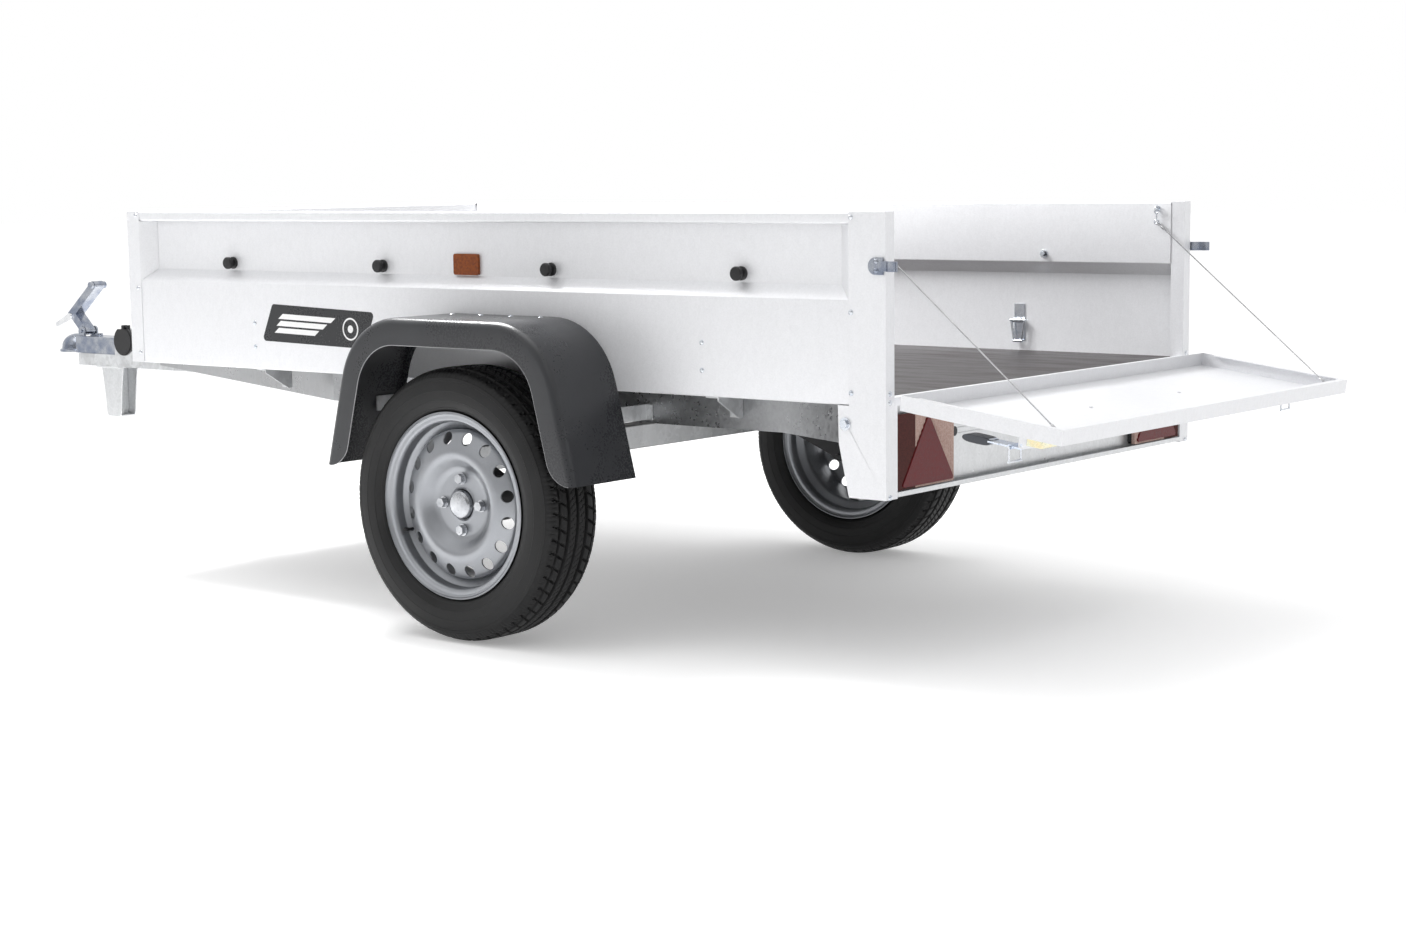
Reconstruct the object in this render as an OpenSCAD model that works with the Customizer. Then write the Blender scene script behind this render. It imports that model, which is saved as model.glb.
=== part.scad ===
// Single-axle box trailer with drop tailgate, ball coupling and rubber-sprung swing arms.
// +X points to the coupling, +Y to the left side, +Z up. The origin lies on the ground under
// the middle of the whole trailer. Stations along the trailer are given from the rear posts' face.

/* [Load box] */
// Length of the box over its corner posts
box_l = 2050; // [1800:10:2500]
// Width of the box over its corner posts
box_w = 1125; // [950:5:1400]
// Height of the walls
wall_h = 337; // [260:1:420]
// Height of the walls' lower edge above the ground
deck_z = 489; // [480:1:520]
// Thickness of the folded sheet
sheet = 1.5; // [1.2:0.1:2.5]
// Thickness of the floor board
board_t = 12; // [9:1:18]
// Height of the pressed shelf in the walls above the lower edge
shelf_h = 184; // [150:1:200]
// Depth of the recess above the shelf
recess = 25; // [18:1:35]

/* [Chassis] */
// Distance from the box to the centre of the coupling's ball
drawbar_l = 950; // [800:10:1200]
// Height of the chassis beams
beam_h = 67; // [50:1:80]
// Width of the beams' flanges
beam_w = 35; // [25:1:45]
// Distance of the beams' outer faces from the box's outer faces
beam_inset = 82; // [60:1:110]
// Height of the coupling ball's centre
ball_z = 455; // [450:1:470]

/* [Axle and wheels] */
// Distance of the wheel centre from the rear posts' face
axle_back = 899; // [800:1:1100]
// Distance of the wheel's middle plane from the box's outer face
wheel_out = 93.5; // [90:0.5:110]
// Outer diameter of the tyre
tyre_d = 533; // [515:1:545]
// Section width of the tyre
tyre_w = 149; // [135:1:155]
// Radius of the swing arm
arm_r = 154; // [130:1:170]
// Droop of the unladen swing arm below level, degrees
arm_droop = 24; // [15:1:30]

/* [Mudguards] */
// Height of the mudguard's flat top above the ground
guard_top = 625; // [615:1:650]
// Width of the mudguard
guard_w = 177; // [175:1:190]
// Length of the mudguard at its lower ends
guard_l = 660; // [640:5:720]

/* [Tailgate] */
// Distance of the hinge axis behind the rear posts
hinge_back = 20; // [18:0.5:24]
// Depth of the tailgate's folded rim
gate_t = 27; // [22:1:30]
// Droop of the open tailgate below level, degrees
gate_droop = 7.6; // [0:0.2:12]

/* [Hidden] */
$fn = 48;
gap = 0.3;                    // clearance between pieces that only lie side by side
run = 0.05;                   // radial running clearance of a pin in its hole
hw = box_w / 2;
wy = hw - sheet;              // outer plane of the walls, under the posts' plates
box_top = deck_z + wall_h;
shelf_z = deck_z + shelf_h;
floor_under = deck_z + sheet;
floor_top = floor_under + board_t;
rim_h = 20;                   // height of the walls' rolled top rim
wall_end = 30.5;              // distance of the walls' ends from the box's outer faces
post_rear_w = 78;
post_front_w = 41;
post_low = deck_z - 163;      // lower end of the rear posts
ramp = 35;                    // length of the slanted return beside each post
knob_z = deck_z + 225.5;
knob_pitch = 464;
knob_first = 332;             // station of the rearmost tarpaulin knob
beam_z = deck_z - beam_h;
beam_t = 2.5;
beam_y = hw - beam_inset;
beam_bend = box_l - 570;      // station where the beams turn inwards to the drawbar
beam_flare = 285;             // station where the beams flare out to the rear posts
arm_meet = 339.2;             // the drawbar arms' outer faces meet this far behind the ball
// inward run of the drawbar arms per unit of length
arm_slope = (beam_y - 20) / (box_l + drawbar_l - arm_meet - beam_bend);
head_half = 42;
wheel_y = hw + wheel_out;
wheel_z = tyre_d / 2;
pivot_dx = arm_r * cos(arm_droop);
pivot_z = wheel_z + arm_r * sin(arm_droop);
tube_w = 52;
tube_end = hw - 22.5;         // half-length of the axle tube
stub_r = 15;
hub_face = wheel_y + 30;      // plane where the wheel disc seats
bolt_pcd = 100;
hinge_z = deck_z + 6;
gate_low = 10;                // lower edge of the closed gate above the hinge axis
gate_in = hinge_back - 1.5;   // the closed gate's inner edge ahead of the hinge axis
gate_out = gate_in - gate_t;  // the closed gate's outer face
gate_high = box_top - hinge_z;
catch_tip = 65;               // reach of the coupling's catch lever ahead of the ball
nose = box_l + drawbar_l + catch_tip;
tail = hinge_back + gate_high * cos(gate_droop) + gate_in * sin(gate_droop);
rear_x = (tail - nose) / 2;
lash_x = [407, box_l - 417];
lash_z = deck_z + 79;
latch_u = 262;                // latch pivot above the hinge axis on the closed gate
latch_y = hw - 38;
strike_z = deck_z + 244;
wire_y = wy - recess - sheet - 7;
socket_dx = -330;             // the socket's axis from the ball's centre
socket_z = 485;
lamp_x = 22;                  // depth of the lamp carrier behind the posts' rear face
lamp_in = 338;                // inner end of a rear lamp
lamp_out = hw - 37;

function sx(d) = rear_x + d;
function unit(v) = v / norm(v);
function left_of(v) = [-v[1], v[0]];
function side_normal(p, i) = left_of(unit(p[i + 1] - p[i]));
function mitre(p, i) =
    i == 0 ? side_normal(p, 0)
    : i == len(p) - 1 ? side_normal(p, i - 1)
    : let (a = side_normal(p, i - 1), b = side_normal(p, i)) (a + b) / (1 + a * b);
function shifted(p, t) = [for (i = [0 : len(p) - 1]) p[i] + t * mitre(p, i)];
function reversed(p) = [for (i = [len(p) - 1 : -1 : 0]) p[i]];
// Points of an arc about c from angle a0 to a1
function arc(c, r, a0, a1, n) = [for (i = [0 : n]) let (a = a0 + (a1 - a0) * i / n)
    c + r * [cos(a), sin(a)]];

ball_x = sx(box_l + drawbar_l);
wheel_x = sx(axle_back);
pivot_x = wheel_x + pivot_dx;

// ---- helpers ----
module strip(path, t) { polygon(concat(path, reversed(shifted(path, t)))); }
// A profile drawn in (Y, Z), drawn out along X
module along_x(x0, x1) { translate([x0, 0, 0]) rotate([90, 0, 90]) linear_extrude(x1 - x0) children(); }
// A profile drawn in (X, Z), drawn out along Y
module along_y(y0, y1) { translate([0, y1, 0]) rotate([90, 0, 0]) linear_extrude(y1 - y0) children(); }
module along_z(z0, z1) { translate([0, 0, z0]) linear_extrude(z1 - z0) children(); }
// A profile drawn in (radius, Y), turned about an axis along Y
module about_y(x, y, z) { translate([x, y, z]) rotate([-90, 0, 0]) rotate_extrude($fn = 96) children(); }
module block(a, b) { translate(a) cube(b - a); }
module pin_y(x, z, r, y0, y1) { translate([x, y0, z]) rotate([-90, 0, 0]) cylinder(r = r, h = y1 - y0); }
module pin_x(y, z, r, x0, x1) { translate([x0, y, z]) rotate([0, 90, 0]) cylinder(r = r, h = x1 - x0); }
module pin_z(x, y, r, z0, z1) { translate([x, y, z0]) cylinder(r = r, h = z1 - z0); }
module hex_y(x, z, af, y0, y1) {
    translate([x, y0, z]) rotate([-90, 0, 0]) cylinder(r = af / sqrt(3), h = y1 - y0, $fn = 6);
}
module right_side() { mirror([0, 1, 0]) children(); }
module both_sides() {
    children();
    right_side() children();
}
// A straight round bar between two points
module bar(a, b, r) {
    d = b - a;
    translate(a) rotate([0, acos(d[2] / norm(d)), atan2(d[1], d[0])]) cylinder(r = r, h = norm(d));
}

// ---- load box ----
// Outer line of the walls' section, from the foot flange up to the rolled rim
function wall_path(w, foot) = [
    [w - foot, deck_z], [w, deck_z], [w, shelf_z], [w - recess, shelf_z + recess],
    [w - recess, box_top - sheet], [w - sheet, box_top - sheet],
    [w - sheet, box_top - rim_h], [w - 16, box_top - rim_h]];

module side_wall() {
    color("gainsboro") difference() {
        along_x(sx(wall_end), sx(box_l - wall_end)) strip(wall_path(wy, 40), sheet);
        for (i = [0 : knob_count - 1])
            pin_y(sx(knob_first + i * knob_pitch), knob_z, 3.1, wy - recess - 5, wy - recess + 5);
    }
}
knob_count = 4;
module side_wall_left() { side_wall(); }
module side_wall_right() { right_side() side_wall(); }

module front_wall() {
    wx = sx(box_l) - sheet;
    color("gainsboro") difference() {
        along_y(-(hw - wall_end), hw - wall_end) strip(wall_path(wx, 25), sheet);
        for (s = [-1, 1])
            pin_x(s * front_knob_y, knob_z, 3.1, wx - recess - 5, wx - recess + 5);
    }
}
front_knob_y = 300;

module floor_board() {
    color("saddlebrown")
        block([sx(2), -(wy - sheet - 0.5), floor_under], [sx(box_l) - 2 * sheet - 0.5, wy - sheet - 0.5, floor_top]);
}

// Slanted plate that closes the wall's recess beside a post, drawn for a wall facing +Y.
// It starts at x on the post's plate and runs by dx along the wall.
module recess_return(x, dx, w) {
    inner = w - recess + gap;
    bottom = shelf_z + gap;
    intersection() {
        along_z(shelf_z - 5, box_top)
            strip(dx > 0 ? [[x + dx, inner - 2], [x, w + sheet]] : [[x, w + sheet], [x + dx, inner - 2]], sheet);
        along_x(x - 2 * ramp, x + 2 * ramp) polygon([
            [w + sheet, bottom], [w, bottom], [inner, bottom + recess],
            [inner, box_top - rim_h - sheet - gap], [w - sheet, box_top - rim_h - sheet - gap],
            [w + sheet, box_top - rim_h - sheet - gap]]);
    }
}

module front_post() {
    px = sx(box_l);
    along_z(deck_z, box_top)
        strip([[px, hw - post_front_w], [px, hw], [px - post_front_w, hw]], sheet);
    // cap, and the angle behind the ends of the two walls
    block([px - 30, hw - 30, box_top - sheet], [px, hw, box_top]);
    along_z(shelf_z + recess + 2, box_top - 6) strip([
        [px - recess, hw - 60], [px - recess, hw - recess], [px - 60, hw - recess]], sheet);
    recess_return(px - post_front_w, -ramp, wy);
    // the same return beside the front wall: the side return turned over the corner's diagonal
    translate([px, hw, 0]) mirror([1, -1, 0]) translate([-px, -hw, 0])
        recess_return(px - post_front_w, -ramp, wy);
}
module front_posts() { color("whitesmoke") both_sides() front_post(); }

module rear_post() {
    x0 = sx(0);
    // outer plate with its lower extension
    difference() {
        along_y(wy, hw) polygon([
            [x0, post_low], [sx(79), post_low], [sx(100), beam_z - 2], [sx(102), deck_z - 0.5],
            [sx(post_rear_w), deck_z - 0.5], [sx(post_rear_w), box_top], [x0, box_top]]);
        pin_y(sx(86), beam_z + 34, 5.1, wy - 5, hw + 5);
    }
    // rear face, narrow above the deck and wide below it
    along_x(x0, x0 + sheet) polygon([
        [hw, post_low], [hw, box_top], [wy - recess, box_top], [wy - recess, deck_z],
        [lamp_out + 1, deck_z], [lamp_out + 1, post_low]]);
    block([x0, wy - recess, floor_top + 0.5], [sx(30), wy - recess + sheet, box_top]);
    block([x0, wy - recess, box_top - sheet], [sx(30), hw, box_top]);
    block([x0, lamp_out + 1, post_low], [sx(60), hw, post_low + sheet]);
    recess_return(sx(post_rear_w), ramp, wy);
}
module rear_post_left() { color("whitesmoke") rear_post(); }
module rear_post_right() { color("whitesmoke") right_side() rear_post(); }

module rear_sill() {
    color("silver") {
        along_y(-(wy - recess - gap), wy - recess - gap) strip([
            [sx(24), floor_top], [sx(sheet), floor_top], [sx(sheet), floor_under],
            [sx(24), floor_under]], -sheet);
        for (y = gate_lug_y, s = [-1, 1]) gate_eye(s * y);
    }
}
// Fixed hinge eye standing out behind the sill
gate_lug_y = [120, 420];
eye_r = 8;
hinge_pin_r = 4;
module gate_eye(y) {
    difference() {
        union() {
            pin_y(sx(-hinge_back), hinge_z, eye_r, y - 12, y + 12);
            block([sx(-hinge_back), y - 12, hinge_z - 3], [sx(0), y + 12, hinge_z + 3]);
        }
        pin_y(sx(-hinge_back), hinge_z, hinge_pin_r + run, y - 13, y + 13);
    }
}

// Domed head of a blind rivet on a face that looks along +Y
module rivet_y(x, y, z) { about_y(x, y, z) polygon([[0, 0], [5, 0], [4.4, 1.4], [2.4, 2.6], [0, 2.8]]); }
module body_rivets() {
    color("darkgray") both_sides() {
        for (z = [box_top - 9, deck_z + 163, deck_z + 22]) rivet_y(sx(73), hw, z);
        for (z = [box_top - 9, deck_z + 166, deck_z + 22]) rivet_y(sx(box_l - 30), hw, z);
        for (x = lash_x, z = [99, 48]) rivet_y(sx(x), wy, deck_z + z);
        for (z = [7, 23, -159]) translate([sx(0), hw - 13, deck_z + z]) rotate([0, 0, 90])
            rivet_y(0, 0, 0);
    }
}

// ---- chassis ----
function beam_path() = [
    [sx(beam_bend) + (beam_y - 20) / arm_slope, 20], [sx(beam_bend), beam_y],
    [sx(beam_flare), beam_y], [sx(100), wy - gap]];
module chassis_beam() {
    difference() {
        union() {
            along_z(beam_z, deck_z) strip(beam_path(), beam_t);
            along_z(beam_z, beam_z + beam_t) strip(beam_path(), beam_w);
            along_z(deck_z - beam_t, deck_z) strip(beam_path(), beam_w);
            // ear that bolts to the rear post
            block([sx(62), wy - gap - beam_t, beam_z + 10], [sx(102), wy - gap, deck_z - 6]);
        }
        block([sx(box_l + 200), -head_half - gap, 0], [sx(box_l + 2000), head_half + gap, 900]);
        pin_y(sx(86), beam_z + 34, 5.1, wy - 10, wy + 5);
    }
}
module chassis_beam_left() { color("lightgray") chassis_beam(); }
module chassis_beam_right() { color("lightgray") right_side() chassis_beam(); }

member_x = [330, 760, 1400];
module cross_members() {
    y = beam_y - beam_w - gap;
    color("silver") {
        for (x = member_x) along_y(-y, y) strip([
            [sx(x) + 35, floor_under], [sx(x), floor_under], [sx(x), beam_z + 6],
            [sx(x) + 35, beam_z + 6]], 2);
    }
}

bracket_x = [389, box_l - 425];
module body_brackets() {
    color("silver") both_sides() mudguard_stays();
    color("silver") both_sides() for (x = bracket_x) difference() {
        union() {
            block([sx(x) - 15, beam_y, deck_z - 3], [sx(x) + 15, wy - 6, deck_z]);
            block([sx(x) - 15, beam_y, deck_z - 45], [sx(x) + 15, beam_y + 3, deck_z]);
            along_x(sx(x) - 15, sx(x) - 12) polygon([
                [beam_y, deck_z - 45], [beam_y + 12, deck_z - 45], [wy - 6, deck_z - 8],
                [wy - 6, deck_z], [beam_y, deck_z]]);
        }
        pin_y(sx(x) + 3, deck_z - 30, 4, beam_y - 5, beam_y + 9);
    }
}

module lamp_carrier() {
    y = lamp_out + 0.7;
    low = post_low + 2.5;
    high = deck_z - gap;
    color("gainsboro") difference() {
        along_y(-y, y) strip([
            [sx(0), low + 9], [sx(0), low], [sx(lamp_x), low], [sx(lamp_x), high],
            [sx(2), high]], sheet);
        for (s = [-1, 1]) {
            pin_x(s * plug_y, deck_z - 64, 5, sx(10), sx(40));
            pin_x(s * lamp_mid, lamp_mid_z, 12, sx(10), sx(40));
        }
    }
}
plug_y = 315;
lamp_mid = (lamp_in + lamp_out) / 2;
lamp_low = post_low + 13;
lamp_high = lamp_low + 134;
lamp_mid_z = (lamp_low + lamp_high) / 2;

module rounded_plate(w, h, r) {
    // w along the first axis, h along the second, centred
    for (s = [0, 1]) square(s == 0 ? [w - 2 * r, h] : [w, h - 2 * r], center = true);
    for (i = [-1, 1], j = [-1, 1]) translate([i * (w / 2 - r), j * (h / 2 - r)]) circle(r = r);
}
module lamp_housings() {
    color("dimgray") both_sides() difference() {
        union() {
            translate([0, lamp_mid, lamp_mid_z]) along_x(sx(11), sx(lamp_x) - sheet)
                rounded_plate(lamp_out - lamp_in - 2, lamp_high - lamp_low, 8);
            pin_x(lamp_mid, lamp_mid_z, 11.8, sx(lamp_x) - 2, sx(lamp_x) + 12);
            pin_x(plug_y, deck_z - 64, 4.9, sx(lamp_x) - sheet - 3, sx(lamp_x) + 3);
            pin_x(plug_y, deck_z - 64, 9, sx(lamp_x) - sheet - 3, sx(lamp_x) - sheet);
        }
        translate([0, lamp_mid, lamp_mid_z]) along_x(sx(9), sx(17))
            rounded_plate(lamp_out - lamp_in - 10, lamp_high - lamp_low - 8, 5);
    }
}
module lamp_lenses() {
    color("firebrick") both_sides() {
        translate([0, lamp_mid, lamp_mid_z]) along_x(sx(1.5), sx(11))
            rounded_plate(lamp_out - lamp_in - 2, lamp_high - lamp_low, 8);
        // raised triangle reflector
        along_x(sx(0), sx(2)) polygon([
            [lamp_out - 4, lamp_low + 6], [lamp_in + 4, lamp_low + 6],
            [(lamp_in + lamp_out) / 2 - 6, lamp_high - 6]]);
    }
}

// ---- drawbar, coupling, leg, socket ----
head_top = ball_z - 14;
head_low = head_top - 31;
module drawbar_head() {
    x0 = ball_x - 520;
    x1 = ball_x - 212;
    x2 = ball_x - 59;
    color("silver") difference() {
        union() {
            block([x0, -head_half, head_low], [x1, head_half, head_top + 29]);
            along_x(x1 - 20, x2) strip([[head_half, head_low], [head_half, head_top],
                [-head_half, head_top], [-head_half, head_low]], 4);
            // plate that carries the electrical socket
            block([ball_x + socket_dx - 37, head_half, socket_z - 20],
                [ball_x + socket_dx + 37, 56, socket_z - 16]);
            block([ball_x + socket_dx - 37, 52, socket_z - 33], [ball_x + socket_dx + 37, 56, socket_z + 30]);
        }
        block([x0 - 5, -head_half + 4, head_low + 4], [x1 - 4, head_half - 4, head_top + 25]);
        pin_y(ball_x + socket_dx, socket_z, 15, 50, 60);
        for (x = coupling_bolt_x) pin_z(x, 0, 5.5, head_top - 10, head_top + 10);
    }
}
coupling_bolt_x = [ball_x - 180, ball_x - 95];

leg_x = ball_x - 177;
leg_foot_z = 277;
module support_leg() {
    color("lightgray") {
        both_sides() along_y(22, 25) polygon([
            [leg_x - 45, head_low], [leg_x + 45, head_low], [leg_x + 33, head_low - 28],
            [leg_x + 31, leg_foot_z + 8], [leg_x + 25, leg_foot_z], [leg_x - 25, leg_foot_z],
            [leg_x - 31, leg_foot_z + 8], [leg_x - 34, head_low - 28]]);
        block([leg_x - 3, -24, leg_foot_z], [leg_x, 24, head_low]);
        block([leg_x - 28, -24, leg_foot_z], [leg_x + 28, 24, leg_foot_z + 4]);
        block([leg_x - 45, -head_half, head_low - 4], [leg_x + 45, head_half, head_low]);
    }
}

ball_r = 25.15;
ear_x = ball_x - 49;
ear_z = ball_z + 43;
module coupling_body() {
    color("slategray") difference() {
        union() {
            translate([ball_x, 0, ball_z]) rotate_extrude($fn = 96)
                polygon(concat([[0, -13], [46, -13], [46, -8], [41, -5]],
                    [for (a = [0 : 10 : 90]) [40 * cos(a), 34 * sin(a)]]));
            along_x(ball_x - 205, ball_x - 36) strip([
                [-32, head_top], [-32, ball_z + 30], [32, ball_z + 30], [32, head_top]], -4);
            // bolt-down feet
            for (s = [-1, 1]) block([ball_x - 205, s > 0 ? 16 : -32, head_top],
                [ball_x - 60, s > 0 ? 32 : -16, head_top + 4]);
            for (s = [-1, 1]) difference() {
                union() {
                    pin_y(ear_x, ear_z, 12, s > 0 ? 18 : -23, s > 0 ? 23 : -18);
                    block([ear_x - 12, s > 0 ? 18 : -23, ball_z + 20], [ear_x + 12, s > 0 ? 23 : -18, ear_z]);
                }
                pin_y(ear_x, ear_z, 5 + run, -30, 30);
            }
        }
        // seat of the ball, open downwards
        ball_room(ball_r);
        // pocket of the clamp and slot of the hand lever
        block([ball_x - 62, -10 - gap, head_top - 1], [ball_x - 20, 10 + gap, ball_z + 17]);
        block([ear_x - 22, -15.6, ball_z - 10], [ear_x + 16, 15.6, ball_z + 40]);
        for (x = coupling_bolt_x) pin_z(x, 0, 5.5, head_top - 10, ball_z + 60);
    }
    color("gainsboro") for (x = coupling_bolt_x) {
        pin_z(x, 0, 5, head_top - 8, ball_z + 30);
        translate([x, 0, ball_z + 30]) cylinder(r = 9.8, h = 7, $fn = 6);
        translate([x, 0, head_top - 12]) cylinder(r = 9.8, h = 8, $fn = 6);
    }
}

// Room of the coupling ball: half a ball above its centre, a straight bore below
module ball_room(r) {
    translate([ball_x, 0, ball_z]) rotate_extrude($fn = 96) {
        intersection() {
            circle(r = r);
            square(60);
        }
        translate([0, -30]) square([r, 30]);
    }
}

lever_bend = [ball_x, ball_z + 88];
lever_tip = [ball_x - 95, ball_z + 165];
module coupling_handle() {
    color("darkslategray") difference() {
        union() {
            along_y(-15, 15) {
                polygon(concat(
                    [for (p = [[ear_x, ear_z], lever_bend, lever_tip]) p],
                    reversed(shifted([[ear_x, ear_z], lever_bend, lever_tip], 11))));
                polygon(concat(
                    [for (p = [[ear_x, ear_z], lever_bend, lever_tip]) p],
                    reversed(shifted([[ear_x, ear_z], lever_bend, lever_tip], -11))));
                translate(lever_tip) circle(r = 11);
                translate([ear_x, ear_z]) circle(r = 11);
            }
            pin_y(ear_x, ear_z, 5, -26, 26);
            pin_y(lever_tip[0], lever_tip[1], 9, -24, 24);
        }
        pin_y(catch_p[0], catch_p[1], 3 + run, 5, 40);
    }
}
catch_p = [ball_x + 2, ball_z + 81];
module safety_catch() {
    color("gainsboro") {
        along_y(15.3, 18.3) polygon([
            catch_p + [-7, 6], catch_p + [6, 8], [ball_x + catch_tip, ball_z + 62],
            [ball_x + catch_tip, ball_z + 54], [ball_x + catch_tip - 6, ball_z + 51],
            catch_p + [-5, -8]]);
        pin_y(catch_p[0], catch_p[1], 3, 7, 20.5);
    }
}

module ball_clamp() {
    color("dimgray") difference() {
        block([ball_x - 46, -10, ball_z - 10], [ball_x - 22, 10, ball_z + 10]);
        ball_room(ball_r + 1.6);
    }
}

module socket_body() {
    x = ball_x + socket_dx;
    color("black") difference() {
        union() {
            translate([x - 4, 0, socket_z]) along_y(56, 60) rounded_plate(66, 58, 9);
            pin_y(x, socket_z, 28, 59, 100);
            pin_y(x, socket_z, 14, 44, 60);
            for (e = [x - 9, x + 4.5]) {
                block([e, 88, socket_z + 20], [e + 4.5, 100.6, socket_z + 41]);
                pin_x(99, socket_z + 37, 4, e, e + 4.5);
            }
        }
        pin_y(x, socket_z, 20, 72, 101);
        pin_x(99, socket_z + 37, 2 + run, x - 20, x + 20);
        for (i = [-1, 1], z = [-20, 20]) pin_y(x - 4 + i * 25, socket_z + z, 2.6, 50, 61);
    }
    color("goldenrod") for (a = [0 : 60 : 300])
        pin_y(x + 11 * cos(a), socket_z + 11 * sin(a), 1.8, 72, 90);
}
module socket_lid() {
    x = ball_x + socket_dx;
    color("black") difference() {
        union() {
            pin_y(x, socket_z, 37, 101, 106);
            pin_y(x, socket_z, 33, 106, 108);
            block([x - 4.2, 96, socket_z + 34], [x + 4.2, 106, socket_z + 40]);
            pin_x(99, socket_z + 37, 4.6, x - 4.2, x + 4.2);
        }
        block([x - 30, 100, socket_z + 31], [x - 4.2, 110, socket_z + 50]);
        block([x + 4.2, 100, socket_z + 31], [x + 30, 110, socket_z + 50]);
    }
    color("black") pin_x(99, socket_z + 37, 2, x - 11, x + 11);
}

// ---- axle ----
module axle_tube() {
    color("darkkhaki") translate([pivot_x, 0, pivot_z]) along_y(-tube_end, tube_end) difference() {
        square(tube_w, center = true);
        square(tube_w - 8, center = true);
    }
}
module axle_brackets() {
    top = pivot_z + tube_w / 2;
    color("silver") both_sides() {
        for (y = [beam_y - beam_w, beam_y - 4]) along_y(y, y + 4) polygon([
            [pivot_x - 45, beam_z], [pivot_x + 45, beam_z], [pivot_x + 30, top], [pivot_x - 30, top]]);
        block([pivot_x - 45, beam_y - beam_w, beam_z - 4], [pivot_x + 45, beam_y, beam_z]);
        block([pivot_x - 30, beam_y - beam_w, top], [pivot_x + 30, beam_y, top + 4]);
    }
}
cord_end = tube_end - 20;
module rubber_cords() {
    color("black") for (i = [-1, 1], j = [-1, 1])
        pin_y(pivot_x + i * 14, pivot_z + j * 14, 7.5, 260, cord_end);
}
module rubber_cords_left() { rubber_cords(); }
module rubber_cords_right() { right_side() rubber_cords(); }

arm_y0 = tube_end + 1;
arm_y1 = arm_y0 + 26;
module swing_arm() {
    a = [pivot_x, pivot_z];
    b = [wheel_x, wheel_z];
    n = left_of(unit(b - a));
    color("dimgray") {
        along_y(arm_y0, arm_y1) {
            translate(a) circle(r = 31);
            translate(b) circle(r = 26);
            polygon([a + 31 * n, b + 26 * n, b - 26 * n, a - 31 * n]);
        }
        // square bar inside the axle tube, set on edge between the rubber cords
        translate([pivot_x, 0, pivot_z]) rotate([0, 45, 0])
            block([-11.8, 250, -11.8], [11.8, arm_y0 + 1, 11.8]);
        pin_y(wheel_x, wheel_z, stub_r, arm_y1 - 1, hub_face + 5);
        hex_y(wheel_x, wheel_z, 30, hub_face - 5, hub_face + 3);
        pin_y(wheel_x, wheel_z, 22, arm_y1 - 1, bearing_y[0] - 0.4);
    }
}
module swing_arm_left() { swing_arm(); }
module swing_arm_right() { right_side() swing_arm(); }

// ---- wheels ----
hub_in = arm_y1 + 8;
bearing_y = [hub_in + 6, hub_face - 22];
bearing_r = 31;
module hub() {
    color("dimgray") difference() {
        about_y(wheel_x, 0, wheel_z) polygon([
            [bearing_r + run, hub_in], [44, hub_in], [44, hub_in + 20], [40, hub_face - 20],
            [66, hub_face - 11], [66, hub_face], [36, hub_face], [28.4, hub_face],
            [28.4, hub_face + 3], [bearing_r - 4.5, hub_face + 3], [bearing_r - 4.5, hub_face - 4],
            [bearing_r + run, hub_face - 4]]);
        for (a = [0 : 90 : 270]) bolt_place(a) translate([0, 0, hub_face - 20]) cylinder(r = 6.1, h = 25);
    }
    // two roller bearings
    color("silver") for (y = bearing_y) about_y(wheel_x, y, wheel_z) difference() {
        translate([stub_r + run, 0]) square([bearing_r - stub_r - run, 15]);
        for (s = [-1, 1]) translate([23, 7.5 + s * 7.5]) circle(r = 3);
    }
}
// Turns a drawing along +Z into one along +Y on the bolt circle
module bolt_place(a) {
    translate([wheel_x, 0, wheel_z]) rotate([-90, 0, 0]) rotate([0, 0, a])
        translate([bolt_pcd / 2, 0, 0]) children();
}
module hub_left() { hub(); }
module hub_right() { right_side() hub(); }

rim_seat = 165.1;
rim_lip = 182.4;
vent_count = 16;
vent_pcd = 262;
module rim() {
    color("silver") difference() {
        about_y(wheel_x, wheel_y, wheel_z) {
            // barrel with both flanges and the drop centre
            strip([[rim_lip, -64.5], [rim_lip - 3, -60], [rim_lip - 8, -57.5], [rim_seat + 2, -57],
                [rim_seat, -54], [rim_seat, -36], [146, -28], [146, 20], [rim_seat, 34],
                [rim_seat, 54], [rim_seat + 2, 57], [rim_lip - 8, 57.5], [rim_lip - 3, 60],
                [rim_lip, 64.5]], 3);
            // pressed disc, from the hub seat over the raised ring to the skirt
            strip([[29, 30.2], [66, 30.2], [74, 34], [82, 41], [90, 48], [96, 51.2], [102, 51.6],
                [109, 50], [118, 47], [138, 38], [142.6, 34], [142.6, 14]], 3);
        }
        for (i = [0 : vent_count - 1]) translate([wheel_x, wheel_y, wheel_z]) rotate([-90, 0, 0])
            rotate([0, 0, (i + 0.5) * 360 / vent_count]) translate([vent_pcd / 2, 0, 25])
                cylinder(r = 11.2, h = 40);
        for (a = [0 : 90 : 270]) bolt_place(a) translate([0, 0, hub_face - 5]) cylinder(r = 6.8, h = 15);
        valve_place() cylinder(r = 4.2, h = 30, center = true);
    }
    color("black") valve_place() {
        cylinder(r = 4, h = 24, center = true);
        translate([0, 0, 10]) cylinder(r = 3.2, h = 24);
        translate([0, 0, 22]) cylinder(r = 4, h = 12);
    }
}
// The valve stands square on the sloping side of the drop centre
module valve_place() {
    translate([wheel_x, wheel_y, wheel_z]) rotate([0, 23, 0]) rotate([-90, 0, 0])
        translate([157, 0, 29]) rotate([0, -18, 0]) children();
}
module rim_left() { rim(); }
module rim_right() { right_side() rim(); }

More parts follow.
